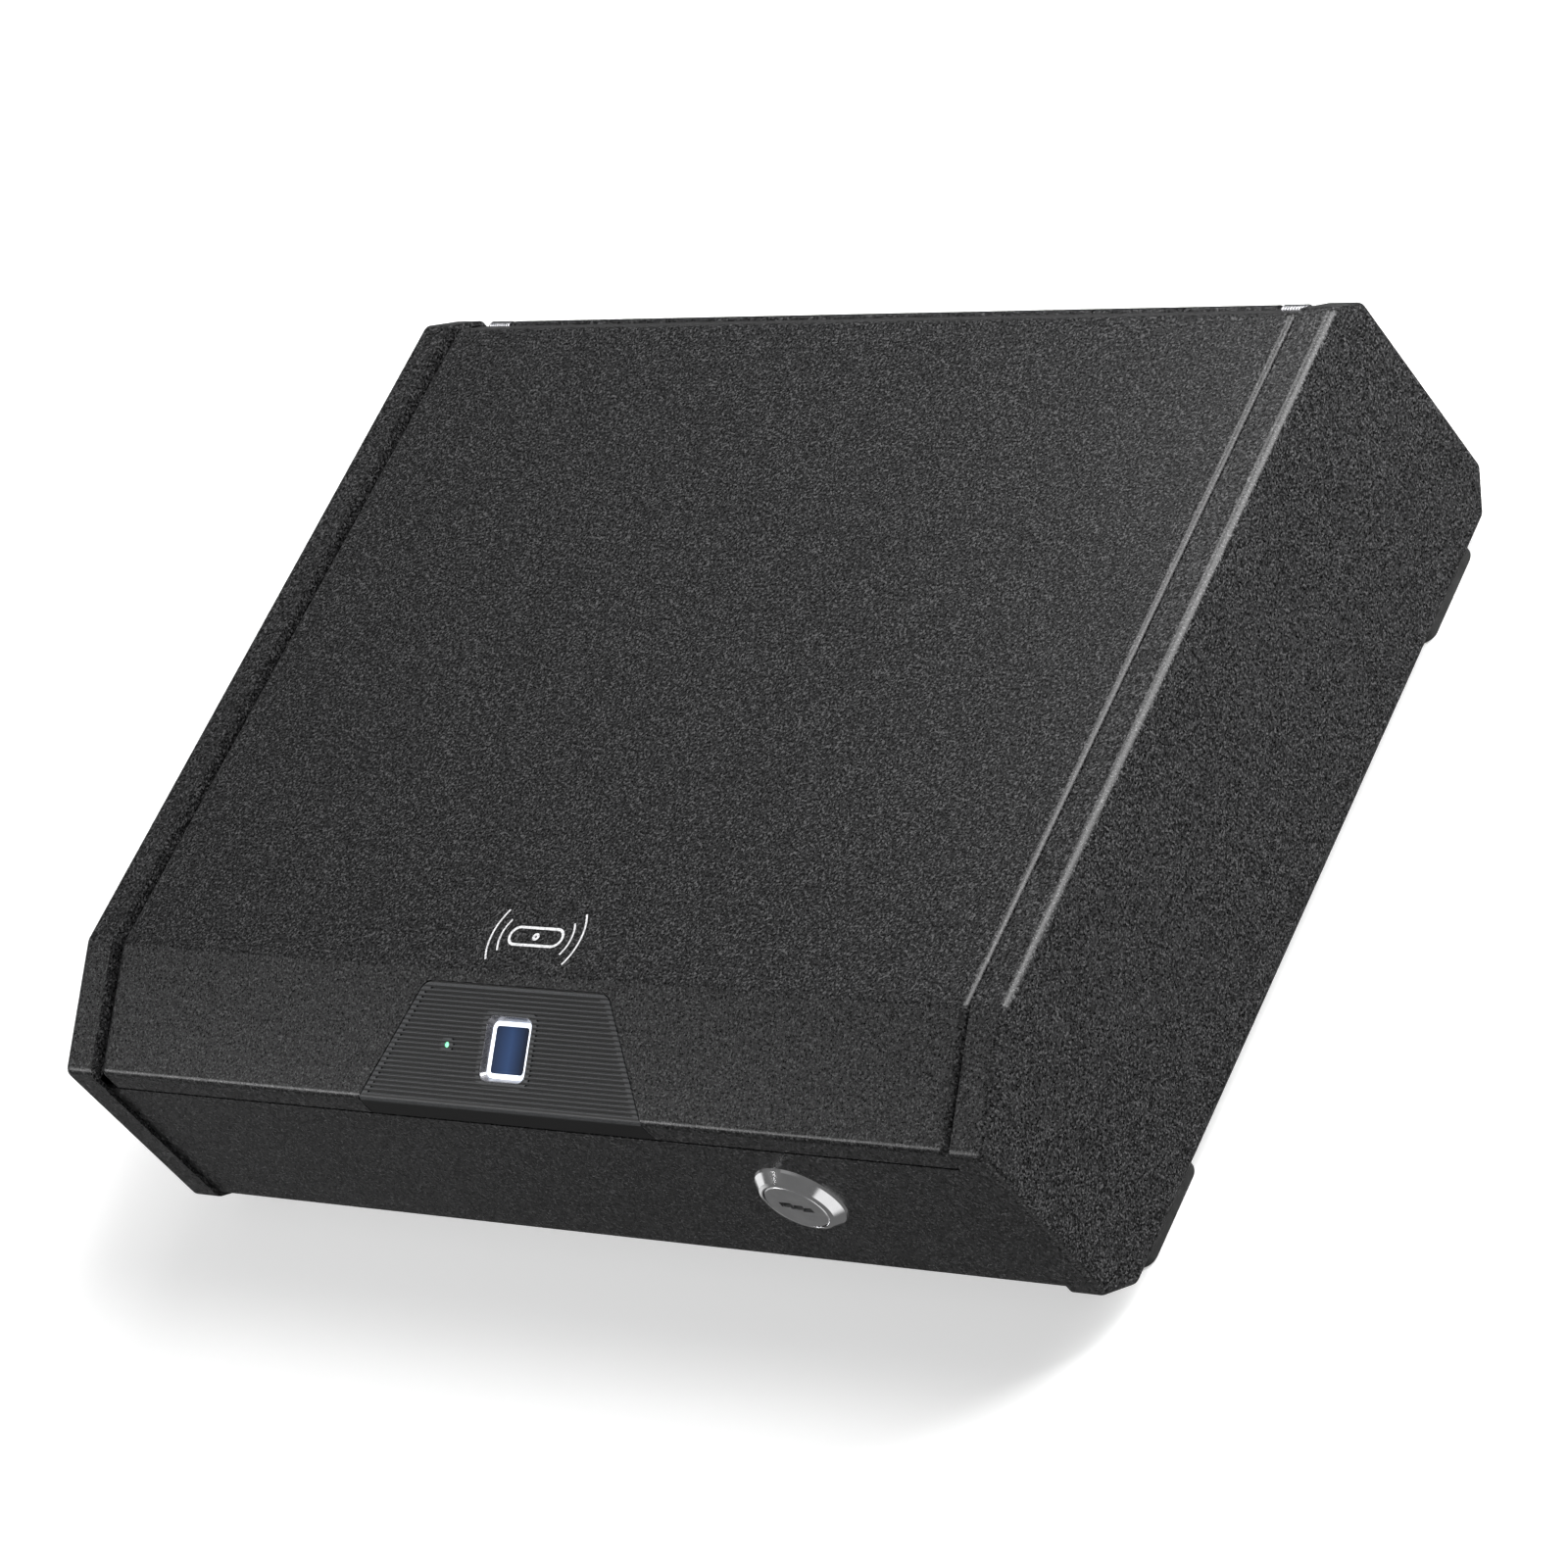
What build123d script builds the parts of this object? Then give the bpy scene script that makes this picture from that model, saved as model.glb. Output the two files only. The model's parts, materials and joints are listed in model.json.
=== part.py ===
from build123d import *
import os
from math import acos, cos, hypot, pi, radians, sin, sqrt, tan

# Slant-front steel gun safe, in millimetres.
# Everything is drawn in case axes: X to the right, Y back from the front face, Z up from the
# underside of the case.  PLACE then moves each piece so that the row's origin is under the middle.

# ---------------------------------------------------------------- driving dimensions
WIDTH = 300.0            # over the two side caps
DEPTH = 240.0            # front face to rear face
HEIGHT = 80.0            # case height, without the feet
SHEET = 1.2              # steel thickness
BEVEL = 8.8              # 45 degree corners at rear top, rear bottom and front bottom
NOSE_Z = 65.5            # height of the sharp front edge
ROOF_START = 31.2        # the flat roof starts this far behind the front face
FOOT_H = 5.0             # rubber feet, below the case

# side caps
CAP_FLANGE = 10.0        # width of the rim that wraps round the case
CAP_CORNER_R = 2.5
BEND_R = 2.0
CAP_RETURN = 7.0         # depth of the strip behind the lid gap

# lid
LID_GAP = 2.0            # between the lid's edge and the cap's rim
LID_X = WIDTH / 2 - CAP_FLANGE - LID_GAP
LID_EDGE_Z = 58.5        # lower edge of the lid's front lip
LID_SIDE_DEPTH = 9.0
WALL_TOP_Z = 57.8        # top of the body's front wall
RIM_TOP_Z = 62.5         # pry guard behind the lip
RIM_X = 135.3
RIM_Y = 3.8

# hinge
HINGE_Y = 237.2
HINGE_Z = 70.6
KNUCKLE_R = 2.2
HINGE_PIN_R = 1.1
HINGE_LENGTH = 252.0
KNUCKLES = 9
HINGE_CLEAR = 2.7        # sheet edges stay this far from the axis
LEAF_TALL = 17.0
LEAF_LID = 9.3
SPRING_LENGTH = 8.0
SPRING_R = 1.9
WIRE_R = 0.4

# key lock on the front wall
LOCK_X = 78.0
LOCK_Z = 38.5
LOCK_PROJECTION = 3.0
BEZEL_BASE_R = 12.0
BEZEL_FRONT_R = 9.3
BARREL_R = 9.4
BARREL_FLATS = 16.4
BARREL_END_Y = 19.0
PLUG_FACE_R = 8.3
PLUG_FACE_T = 2.2
PLUG_R = 6.0
KEYWAY = ((-2.6, 0.75, 3.6), (0.2, 0.0, 4.2), (2.9, -0.75, 3.4))   # centre x and z, width
KEYWAY_HEIGHT = 1.9
KEYWAY_DEPTH = 12.0
CAM_T = 1.6
CAM_TENON = 5.0          # square end of the plug
CAM_R = 6.0              # cam centre to drive pin
CAM_PIN_R = 1.4
KEY_SWING = 90.0         # degrees, half each side of the cam's top dead centre

# sensor panel on the slant
PANEL_TOP_GAP = 3.6      # below the crease, along the slant
PANEL_TOP_HALF = 29.75
PANEL_NOSE_HALF = 46.0
PANEL_T = 2.0
PANEL_SEAM = 0.35
RIB_PITCH = 1.2
RIB_COUNT = 23
RIB_WIDTH = 0.5
RIB_DEPTH = 0.35
SENSOR_S = 18.6          # sensor centre below the crease, along the slant
POCKET = (15.0, 16.2, 2.4)   # width, height, corner radius
WINDOW = (13.2, 14.0, 2.0)
GLASS = (10.7, 11.6, 0.9)
WINDOW_DEPTH = 1.4       # light ring and glass, below the panel's face
MODULE_DEPTH = 3.0       # front of the reader behind the glass
LED_X = -19.5
LED_R = 0.7

# electronics tray under the lid
TRAY_X = 112.0
TRAY_Y0 = 7.0
TRAY_Y1 = 76.0
TRAY_Z = 56.0
TRAY_WALL = 1.8
TRAY_INSET = 4.5         # below the outer skin
BOSS_R = 3.2
SCREW_R = 1.5
SCREW_SPOTS = [(-100.0, 13.0), (100.0, 13.0), (1.0, 70.0), (104.0, 70.0)]

# latch bar, its hooks and its drive
LATCH_TRAVEL = 6.0
BAR_X0 = -50.0
BAR_X1 = 56.0
BAR_Y0 = 17.0
BAR_Y1 = 25.0
BAR_Z = 58.3
BAR_T = 2.0
HOOK_X = (-40.0, 30.0)
HOOK_Y0 = 19.5
HOOK_Y1 = 22.5
HOOK_Z = 49.5
HOOK_NECK = 4.0
HOOK_TOE = 9.0
TOE_T = 2.2
MODULE = 0.7
PINION_TEETH = 10
RACK_TEETH = 9
BACKLASH = 0.12
PRESSURE = radians(20)
RACK_ADDENDUM = 0.4      # short, so that it clears the small pinion's roots
TOOTH_CLEAR = 0.15
SHAFT_R = 1.5
GUIDE_X = (-22.0, 47.0)
GUIDE_WIDTH = 7.0
PINION_X = 18.0
PINION_Y0 = 18.5
PINION_FACE = 5.0
MOTOR = (12.0, 24.0, 10.0)
MOTOR_Y = 26.0

# sliding strike on the front wall, moved by the key
STRIKE_Z = 52.0
STRIKE_T = 1.6
STRIKE_X0 = -60.0
STRIKE_X1 = 62.0
STRIKE_Y0 = 16.0
STRIKE_Y1 = 27.6
STRIKE_TRAVEL = 2 * CAM_R * sin(radians(KEY_SWING / 2))
SHELF_GAP = 0.1
SHOULDER_R = 2.0
SHOULDER_X = (-10.0, 10.0)
SHOULDER_Y = 21.0
SHELF_MIDDLE = (-20.0, 18.0)
SHELF_RIGHT = (50.0, 60.0)
PLATE_X = 62.0           # back plate, half width
PLATE_LOW = 36.0
APRON_Z = 46.0           # lower edge of the strike's turned-down rear edge
SPRING_Y = 12.0          # axis of the return spring
SPRING_Z = 46.0
SPRING_OUTER = 2.8
SPRING_INNER = 2.1
SPRING_STOP_T = 1.4

# batteries and their door
CELL_R = 7.25
CELL_LENGTH = 50.5
CELL_Z = 65.6
CELL_ROWS = (45.2, 59.8)
CELL_X = (-107.6, -57.0)
DOOR = (-107.0, -7.0, 35.0, 76.0)     # x0, x1, y0, y1
DOOR_T = 1.2
DOOR_TONGUE = 1.3

# circuit board
BOARD = (62.0, 106.0, 30.0, 66.0)
BOARD_Z = 62.0
BOARD_T = 1.6
BUTTON = (74.0, 52.0)
BUTTON_R = 2.8

# foam and fixings
FLOOR_FOAM_T = 6.0
LID_FOAM_T = 8.6
FLOOR_FOAM = (136.0, 12.0, 228.0)     # half width, front, rear
LID_FOAM = (130.0, 80.0, 222.0)
ANCHOR_HALF_X = 105.0
ANCHOR_HALF_Y = 75.0
ANCHOR_R = 3.5
FOOT_X0 = 127.4
FOOT_X1 = 147.4
FOOT_LENGTH = 29.6
FOOT_OFFSET = 89.8

# ---------------------------------------------------------------- worked-out values
MID_Y = DEPTH / 2
LOCK_PROUD = LOCK_PROJECTION - SHEET
PLACE = Pos(0, -(DEPTH - LOCK_PROUD) / 2, FOOT_H)
SKIN = SHEET                      # the lid's and body's outer faces sit this far inside the caps
INNER = 2 * SHEET                 # their inner faces
OUTLINE = [
    (0, BEVEL),
    (BEVEL, 0),
    (DEPTH - BEVEL, 0),
    (DEPTH, BEVEL),
    (DEPTH, HEIGHT - BEVEL),
    (DEPTH - BEVEL, HEIGHT),
    (ROOF_START, HEIGHT),
    (0, NOSE_Z),
]
SLANT_RUN = hypot(ROOF_START, HEIGHT - NOSE_Z)
SLANT_COS = ROOF_START / SLANT_RUN
SLANT_SIN = (HEIGHT - NOSE_Z) / SLANT_RUN
CREASE_Y = ROOF_START + SKIN * (1 - SLANT_COS) / SLANT_SIN
CREASE_Z = HEIGHT - SKIN
NOSE_S = (CREASE_Y - SKIN) / SLANT_COS
PANEL_SLOPE = (PANEL_NOSE_HALF - PANEL_TOP_HALF) / (NOSE_S - PANEL_TOP_GAP)
# local axes on the lid's slanted face: x across, y up the slope, z outward, origin on the crease
SLANT = Plane(origin=(0, CREASE_Y, CREASE_Z), x_dir=(1, 0, 0), z_dir=(0, -SLANT_SIN, SLANT_COS))
# local axes at the hinge: z runs up the rear bevel
HINGE = Plane(origin=(0, HINGE_Y, HINGE_Z), x_dir=(1, 0, 0), z_dir=(0, -sqrt(0.5), sqrt(0.5)))
PITCH_R = MODULE * PINION_TEETH / 2
RACK_Z = BAR_Z + BAR_T + 1.25 * MODULE
PINION_Z = RACK_Z + PITCH_R
CAM_REST = radians(90 + KEY_SWING / 2)
CAM_Y = BARREL_END_Y + 0.3
PIN_SLOT_X = LOCK_X + CAM_R * cos(CAM_REST)


# ---------------------------------------------------------------- helpers
def block(x0, x1, y0, y1, z0, z1):
    """Box between two corners."""
    return Pos((x0 + x1) / 2, (y0 + y1) / 2, (z0 + z1) / 2) * Box(x1 - x0, y1 - y0, z1 - z0)


def post(x, y, z0, z1, radius):
    """Upright cylinder."""
    return Pos(x, y, (z0 + z1) / 2) * Cylinder(radius, z1 - z0)


def along_y(x, z, y0, y1, radius):
    """Cylinder running front to back."""
    return Pos(x, (y0 + y1) / 2, z) * Rot(90, 0, 0) * Cylinder(radius, y1 - y0)


def along_x(y, z, x0, x1, radius):
    """Cylinder running left to right."""
    return Pos((x0 + x1) / 2, y, z) * Rot(0, 90, 0) * Cylinder(radius, x1 - x0)


def outline(inset, corner=0.0):
    """The case's side outline, moved inward by inset, as a flat (y, z) face."""
    face = make_face(Polyline(*OUTLINE, close=True))
    if inset > 0:
        face = offset(face, amount=-inset, kind=Kind.INTERSECTION)
    if corner > 0:
        face = fillet(face.vertices(), corner)
    return face


def prism(face, x0, x1):
    """A (y, z) face drawn out from x0 to x1."""
    return extrude(Plane.YZ.offset(x0) * face, x1 - x0)


def skin(outer, inner, half_width, corner):
    """A wrap of sheet between two insets of the outline."""
    shell = prism(outline(outer, corner), -half_width, half_width)
    return shell - prism(outline(inner, max(corner - (inner - outer), 0.3)), -half_width, half_width)


# ---------------------------------------------------------------- case
def side_cap():
    """Right-hand pressed cap: a flat side with a rim that wraps the whole outline."""
    pan = prism(outline(0, CAP_CORNER_R), WIDTH / 2 - CAP_FLANGE, WIDTH / 2)
    pan = fillet(pan.faces().sort_by(Axis.X)[-1].edges(), BEND_R)
    hollow = outline(SHEET, CAP_CORNER_R - SHEET)
    pan -= prism(hollow, WIDTH / 2 - CAP_FLANGE - 1, WIDTH / 2 - SHEET)
    strip = prism(outline(SHEET), LID_X + LID_GAP, LID_X + LID_GAP + SHEET)
    strip -= prism(outline(SHEET + CAP_RETURN), LID_X, LID_X + CAP_FLANGE)
    strip &= block(0, WIDTH, 1, DEPTH - 4, RIM_TOP_Z - 0.5, HEIGHT)
    return pan + (strip & prism(hollow, LID_X, WIDTH / 2))


def body_shell():
    """Front wall, floor and rear wall bent from one sheet, with the pry guard and the holes."""
    half = WIDTH / 2 - SHEET
    shell = skin(SKIN, INNER, half, CAP_CORNER_R - SHEET)
    shell -= block(-half - 1, half + 1, -1, MID_Y, WALL_TOP_Z, HEIGHT + 1)
    shell -= block(-half - 1, half + 1, MID_Y, DEPTH + 1, HINGE_Z - HINGE_CLEAR, HEIGHT + 1)
    shell += block(-RIM_X, RIM_X, INNER, RIM_Y + SHEET, WALL_TOP_Z - SHEET, WALL_TOP_Z)
    shell += block(-RIM_X, RIM_X, RIM_Y, RIM_Y + SHEET, WALL_TOP_Z - SHEET, RIM_TOP_Z)
    hole = along_y(LOCK_X, LOCK_Z, 0, 4, BARREL_R + 0.1)
    hole &= Pos(LOCK_X, 2, LOCK_Z) * Box(30, 10, BARREL_FLATS + 0.2)
    shell -= hole
    for x, y in anchor_spots():
        shell -= post(x, y, -1, 4, ANCHOR_R)
    return shell


def anchor_spots():
    return [(sx * ANCHOR_HALF_X, MID_Y + sy * ANCHOR_HALF_Y) for sx in (-1, 1) for sy in (-1, 1)]


def foot(side, end):
    """Moulded foot, stepped to sit on the cap's rim and on the floor beside it."""
    y = MID_Y + end * FOOT_OFFSET
    y0 = y - FOOT_LENGTH / 2
    y1 = y + FOOT_LENGTH / 2
    rim_x = WIDTH / 2 - CAP_FLANGE
    pad = block(FOOT_X0, FOOT_X1, y0, y1, -FOOT_H, SHEET)
    pad = fillet(pad.edges().filter_by(Axis.Z), 4.0)
    pad = fillet(pad.faces().sort_by(Axis.Z)[0].edges(), 0.8)
    pad -= block(rim_x, FOOT_X1 + 1, y0 - 1, y1 + 1, 0, SHEET + 1)
    return pad if side > 0 else mirror(pad, about=Plane.YZ)


def floor_foam():
    half, y0, y1 = FLOOR_FOAM
    pad = block(-half, half, y0, y1, INNER, INNER + FLOOR_FOAM_T)
    pad = fillet(pad.edges().filter_by(Axis.Z), 6.0)
    for x, y in anchor_spots():
        pad -= post(x, y, 0, INNER + FLOOR_FOAM_T + 1, 9.0)
    return pad


# ---------------------------------------------------------------- hinge
def knuckle_spans(first):
    """X ranges of every second knuckle, starting from the one numbered first."""
    pitch = HINGE_LENGTH / KNUCKLES
    gap = 0.15
    starts = [-HINGE_LENGTH / 2 + i * pitch for i in range(first, KNUCKLES, 2)]
    return [(x + gap, x + pitch - gap) for x in starts]


def hinge_leaf_body():
    """Leaf on the rear wall's inner face, with the outer and every second knuckle."""
    y1 = DEPTH - INNER
    top = HINGE_Z - HINGE_CLEAR
    leaf = block(-HINGE_LENGTH / 2, HINGE_LENGTH / 2, y1 - SHEET, y1, top - LEAF_TALL, top)
    bore = along_x(HINGE_Y, HINGE_Z, -WIDTH / 2, WIDTH / 2, HINGE_PIN_R)
    for span in knuckle_spans(0):
        leaf += block(span[0], span[1], y1 - SHEET, y1, top - 1, HINGE_Z)
        leaf += along_x(HINGE_Y, HINGE_Z, span[0], span[1], KNUCKLE_R)
    return leaf - bore


def hinge_leaf_lid():
    """Leaf under the lid's rear bevel, with the knuckles between."""
    inner_v = -SHEET / 2
    leaf = HINGE * Pos(0, inner_v, (HINGE_CLEAR + LEAF_LID) / 2) * Box(
        HINGE_LENGTH, SHEET, LEAF_LID - HINGE_CLEAR)
    bore = along_x(HINGE_Y, HINGE_Z, -WIDTH / 2, WIDTH / 2, HINGE_PIN_R + 0.06)
    for span in knuckle_spans(1):
        middle = (span[0] + span[1]) / 2
        reach = HINGE * Pos(middle, inner_v, HINGE_CLEAR / 2) * Box(
            span[1] - span[0], SHEET, HINGE_CLEAR + 0.2)
        leaf += reach
        leaf += along_x(HINGE_Y, HINGE_Z, span[0], span[1], KNUCKLE_R)
    return leaf - bore


def hinge_pin():
    reach = HINGE_LENGTH / 2 + SPRING_LENGTH + 2.0
    pin = along_x(HINGE_Y, HINGE_Z, -reach, reach, HINGE_PIN_R)
    return chamfer(pin.edges().filter_by(GeomType.CIRCLE), 0.3)


def hinge_spring(side):
    """Torsion spring on the pin's end: coil envelope, a leg down the wall and a leg under the lid."""
    x0 = HINGE_LENGTH / 2 + 1.0
    x1 = x0 + SPRING_LENGTH
    coil = along_x(HINGE_Y, HINGE_Z, x0, x1, SPRING_R + WIRE_R)
    wall_leg = post(x0 + WIRE_R, HINGE_Y - SPRING_R, HINGE_Z - 14, HINGE_Z, WIRE_R)
    lid_leg = HINGE * Pos(x1 - WIRE_R, -SPRING_R, 5.0) * Cylinder(WIRE_R, 10.0)
    bore = along_x(HINGE_Y, HINGE_Z, x0 - 1, x1 + 1, SPRING_R - WIRE_R)
    spring = coil + wall_leg + lid_leg - bore
    return spring if side > 0 else mirror(spring, about=Plane.YZ)


# ---------------------------------------------------------------- lid
def panel_outline(grow):
    """Outline of the sensor panel on the slant, wider by grow all round."""
    side = grow * sqrt(1 + PANEL_SLOPE ** 2)
    top_half = PANEL_TOP_HALF + side - PANEL_SLOPE * grow
    low_half = PANEL_NOSE_HALF + side
    low = NOSE_S + 8.0
    shape = make_face(Polyline(
        (-top_half, -PANEL_TOP_GAP + grow),
        (top_half, -PANEL_TOP_GAP + grow),
        (low_half, -NOSE_S),
        (low_half, -low),
        (-low_half, -low),
        (-low_half, -NOSE_S),
        close=True))
    corners = shape.vertices().sort_by(Axis.Y)[-2:]
    return fillet(corners, 4.0 + grow)


def panel_space(grow):
    """Everything in front of and behind the panel's outline, down over the nose and the lip."""
    slant = extrude(SLANT * panel_outline(grow), 9.0, both=True)
    slant &= block(-WIDTH, WIDTH, -5, MID_Y, NOSE_Z - 2.5, HEIGHT + 5)
    half = PANEL_NOSE_HALF + grow
    lip = block(-half, half, -5, 8.0, LID_EDGE_Z - 3, NOSE_Z - 0.5)
    return slant + lip


def lid_shell():
    """Roof, slant, lip and rear bevel in one pressing with turned-down sides."""
    shell = prism(outline(SKIN, BEND_R), -LID_X, LID_X)
    ends = shell.faces().sort_by(Axis.X)
    shell = fillet(ends[0].edges() + ends[-1].edges(), BEND_R - 0.2)
    shell -= prism(outline(INNER, BEND_R - SHEET), -LID_X + SHEET, LID_X - SHEET)
    shell -= prism(outline(SKIN + LID_SIDE_DEPTH), -LID_X - 1, LID_X + 1)
    shell -= block(-WIDTH, WIDTH, -5, MID_Y, -5, LID_EDGE_Z)
    below = HINGE * Pos(0, 0, HINGE_CLEAR - 60) * Box(2 * WIDTH, 400, 120)
    shell -= below & block(-WIDTH, WIDTH, MID_Y, DEPTH + 20, -20, HEIGHT + 20)
    shell -= block(-WIDTH, WIDTH, MID_Y - 1, DEPTH + 5, -5, HINGE_Z - 2)
    shell -= block(-WIDTH, WIDTH, 20, MID_Y, -5, LID_EDGE_Z + 8)
    return shell - panel_space(PANEL_SEAM)


def lid_studs():
    """Threaded posts welded under the lid, one for each tray screw."""
    studs = Part()
    for x, y in SCREW_SPOTS:
        bottom = boss_top(y)
        stud = post(x, y, bottom, HEIGHT, 3.0) & prism(outline(INNER), -TRAY_X, TRAY_X)
        studs += stud - post(x, y, bottom - 1, bottom + 5, SCREW_R)
    return studs


def boss_top(y):
    """Height of the tray's screw posts: low under the slant, higher under the roof."""
    return 62.0 if y < ROOF_START else 70.0


def lid_foam():
    half, y0, y1 = LID_FOAM
    z1 = HEIGHT - INNER
    pad = block(-half, half, y0, y1, z1 - LID_FOAM_T, z1)
    return fillet(pad.edges().filter_by(Axis.Z), 6.0)


# ---------------------------------------------------------------- sensor panel
def rounded(size, grow=0.0):
    width, height, corner = size
    return RectangleRounded(width + 2 * grow, height + 2 * grow, corner + grow)


def sensor_prism(size, near, far, grow=0.0):
    """A rounded prism at the sensor, from depth near to depth far below the panel's face."""
    face = SLANT * Pos(0, -SENSOR_S, -far) * rounded(size, grow)
    return extrude(face, far - near)


def rib_grooves():
    """Fine grooves across the panel, left out round the sensor and near the seams."""
    margin = 1.7
    grooves = Part()
    for i in range(RIB_COUNT):
        s = PANEL_TOP_GAP + 1.6 + i * RIB_PITCH
        half = PANEL_TOP_HALF + PANEL_SLOPE * (s - PANEL_TOP_GAP) - margin
        if i == 0:
            half -= 1.2
        groove = Pos(0, -s, 0) * Box(2 * half, RIB_WIDTH, 2 * RIB_DEPTH)
        grooves += SLANT * groove
    keep = sensor_prism((POCKET[0] + 2.4, POCKET[1] + 2.4, 3.0), -2, 3)
    led = SLANT * Pos(LED_X, -SENSOR_S, 0) * Cylinder(2.0, 4)
    return grooves - keep - led


def sensor_panel():
    """Ribbed plastic panel let into the slant and wrapped over the nose."""
    panel = skin(SKIN, SKIN + PANEL_T, PANEL_NOSE_HALF + 1, BEND_R) & panel_space(0.0)
    panel -= block(-WIDTH, WIDTH, -5, 20, -5, LID_EDGE_Z)
    back = skin(INNER, INNER + 1.0, PANEL_NOSE_HALF + 8, 0.8) & extrude(
        SLANT * panel_outline(3.0), 9.0, both=True)
    back &= block(-WIDTH, WIDTH, RIM_Y + 2.0, MID_Y, NOSE_Z - 4, HEIGHT)
    panel += back
    panel -= rib_grooves()
    panel -= sensor_prism(POCKET, -1, 6)
    panel -= SLANT * Pos(LED_X, -SENSOR_S, -2) * Cylinder(LED_R + 0.05, 8)
    return panel


def sensor_bezel():
    """Bright frame with sloping walls round the sensor window."""
    frame = sensor_prism(POCKET, 0.05, MODULE_DEPTH + 1.0, -0.1)
    frame -= sensor_prism(WINDOW, WINDOW_DEPTH, 5)
    top = SLANT * Pos(0, -SENSOR_S, 0.06) * rounded(POCKET, -0.25)
    bottom = SLANT * Pos(0, -SENSOR_S, -WINDOW_DEPTH - 0.05) * rounded(WINDOW)
    return frame - loft([bottom.face(), top.face()])


def sensor_light_ring():
    ring = sensor_prism(WINDOW, WINDOW_DEPTH + 0.15, MODULE_DEPTH, -0.1)
    return ring - sensor_prism(GLASS, 0, MODULE_DEPTH + 1)


def sensor_glass():
    return sensor_prism(GLASS, WINDOW_DEPTH + 0.1, WINDOW_DEPTH + 1.2, -0.05)


def sensor_module():
    """Reader behind the window, with its carrier plate."""
    plate = MODULE_DEPTH + 1.2
    carrier = sensor_prism((17.0, 16.0, 1.0), plate, plate + 1.2)
    reader = sensor_prism((11.0, 12.0, 0.8), MODULE_DEPTH, plate + 0.1)
    can = sensor_prism((12.0, 10.0, 0.5), plate + 1.1, plate + 2.6)
    return carrier + reader + can


def status_led():
    return SLANT * Pos(LED_X, -SENSOR_S, -2.7) * Cylinder(LED_R, 5.0)


# ---------------------------------------------------------------- electronics tray
def tray_section(inset, y0, y1, z0):
    """Part of the case's outline between two depths, above a floor."""
    limits = Pos((y0 + y1) / 2, (z0 + HEIGHT + 5) / 2) * Rectangle(y1 - y0, HEIGHT + 5 - z0)
    return outline(inset) & limits


def electronics_tray():
    """Plastic tray screwed under the front of the lid."""
    wall = TRAY_WALL
    tray = prism(tray_section(TRAY_INSET, TRAY_Y0, TRAY_Y1, TRAY_Z), -TRAY_X, TRAY_X)
    inside = TRAY_Z + wall
    tray -= block(-TRAY_X + wall, TRAY_X - wall, TRAY_Y0 + wall, TRAY_Y1 - wall, inside, HEIGHT)
    for x, y in SCREW_SPOTS:
        tray += post(x, y, inside - 0.2, boss_top(y), BOSS_R)
        tray -= post(x, y, TRAY_Z - 1, HEIGHT, SCREW_R + 0.1)
    for x in HOOK_X:
        tray -= block(x - 0.8, x + HOOK_TOE + LATCH_TRAVEL + 0.8, HOOK_Y0 - 0.8, HOOK_Y1 + 0.8,
                      TRAY_Z - 1, inside + 1)
    tray -= post(BUTTON[0], BUTTON[1], TRAY_Z - 1, inside + 1, BUTTON_R + 0.25)
    tray += board_posts()
    return tray - door_way()


def door_way():
    """Opening over the batteries, with a rebate and side grooves for the sliding door."""
    x0, x1, y0, y1 = DOOR
    gap = 0.25
    opening = block(x0 + 3, x1 - 3, y0 + 3, y1 - 8, TRAY_Z - 1, TRAY_Z + 3)
    rebate = block(x0 - gap, x1 + gap, y0 - gap, y1 + 1, TRAY_Z - 1, TRAY_Z + DOOR_T + 0.1)
    grooves = block(x0 - DOOR_TONGUE - gap, x1 + DOOR_TONGUE + gap, y0 - gap, y1 + 1,
                    TRAY_Z + 0.55, TRAY_Z + DOOR_T + 0.1)
    return opening + rebate + grooves


def battery_door():
    x0, x1, y0, y1 = DOOR
    door = block(x0, x1, y0, y1, TRAY_Z, TRAY_Z + DOOR_T)
    door += block(x0 - DOOR_TONGUE, x1 + DOOR_TONGUE, y0, y1, TRAY_Z + 0.65, TRAY_Z + DOOR_T)
    middle = (x0 + x1) / 2
    for i in range(5):
        y = y1 - 6 - 2.2 * i
        door += block(middle - 12, middle + 12, y - 0.5, y + 0.5, TRAY_Z - 0.4, TRAY_Z + 0.2)
    return door


def board_posts():
    x0, x1, y0, y1 = BOARD
    spots = [(x, y) for x in (x0 + 4, x1 - 4) for y in (y0 + 4, y1 - 4)]
    posts = Part()
    for x, y in spots:
        posts += post(x, y, TRAY_Z + TRAY_WALL - 0.2, BOARD_Z, 2.5)
    return posts


def battery_cell(column, row):
    """Round cell with its raised positive end; alternate rows face opposite ways."""
    x = CELL_X[column]
    y = CELL_ROWS[row]
    nub = 1.0
    if row == 0:
        can = along_x(y, CELL_Z, x, x + CELL_LENGTH - nub, CELL_R)
        tip = along_x(y, CELL_Z, x + CELL_LENGTH - nub, x + CELL_LENGTH, 2.75)
    else:
        can = along_x(y, CELL_Z, x + nub, x + CELL_LENGTH, CELL_R)
        tip = along_x(y, CELL_Z, x, x + nub, 2.75)
    rims = can.edges().filter_by(GeomType.CIRCLE)
    return fillet(rims, 0.6) + tip


def battery_contacts():
    """One link plate at the left end and a plate for each row at the right end."""
    left = CELL_X[0] - 0.9
    right = CELL_X[1] + CELL_LENGTH + 0.1
    plates = block(left, left + 0.8, CELL_ROWS[0] - 5, CELL_ROWS[1] + 5, TRAY_Z + TRAY_WALL, CELL_Z + 5)
    for y in CELL_ROWS:
        plates += block(right, right + 0.8, y - 5, y + 5, TRAY_Z + TRAY_WALL, CELL_Z + 5)
    return plates


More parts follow.
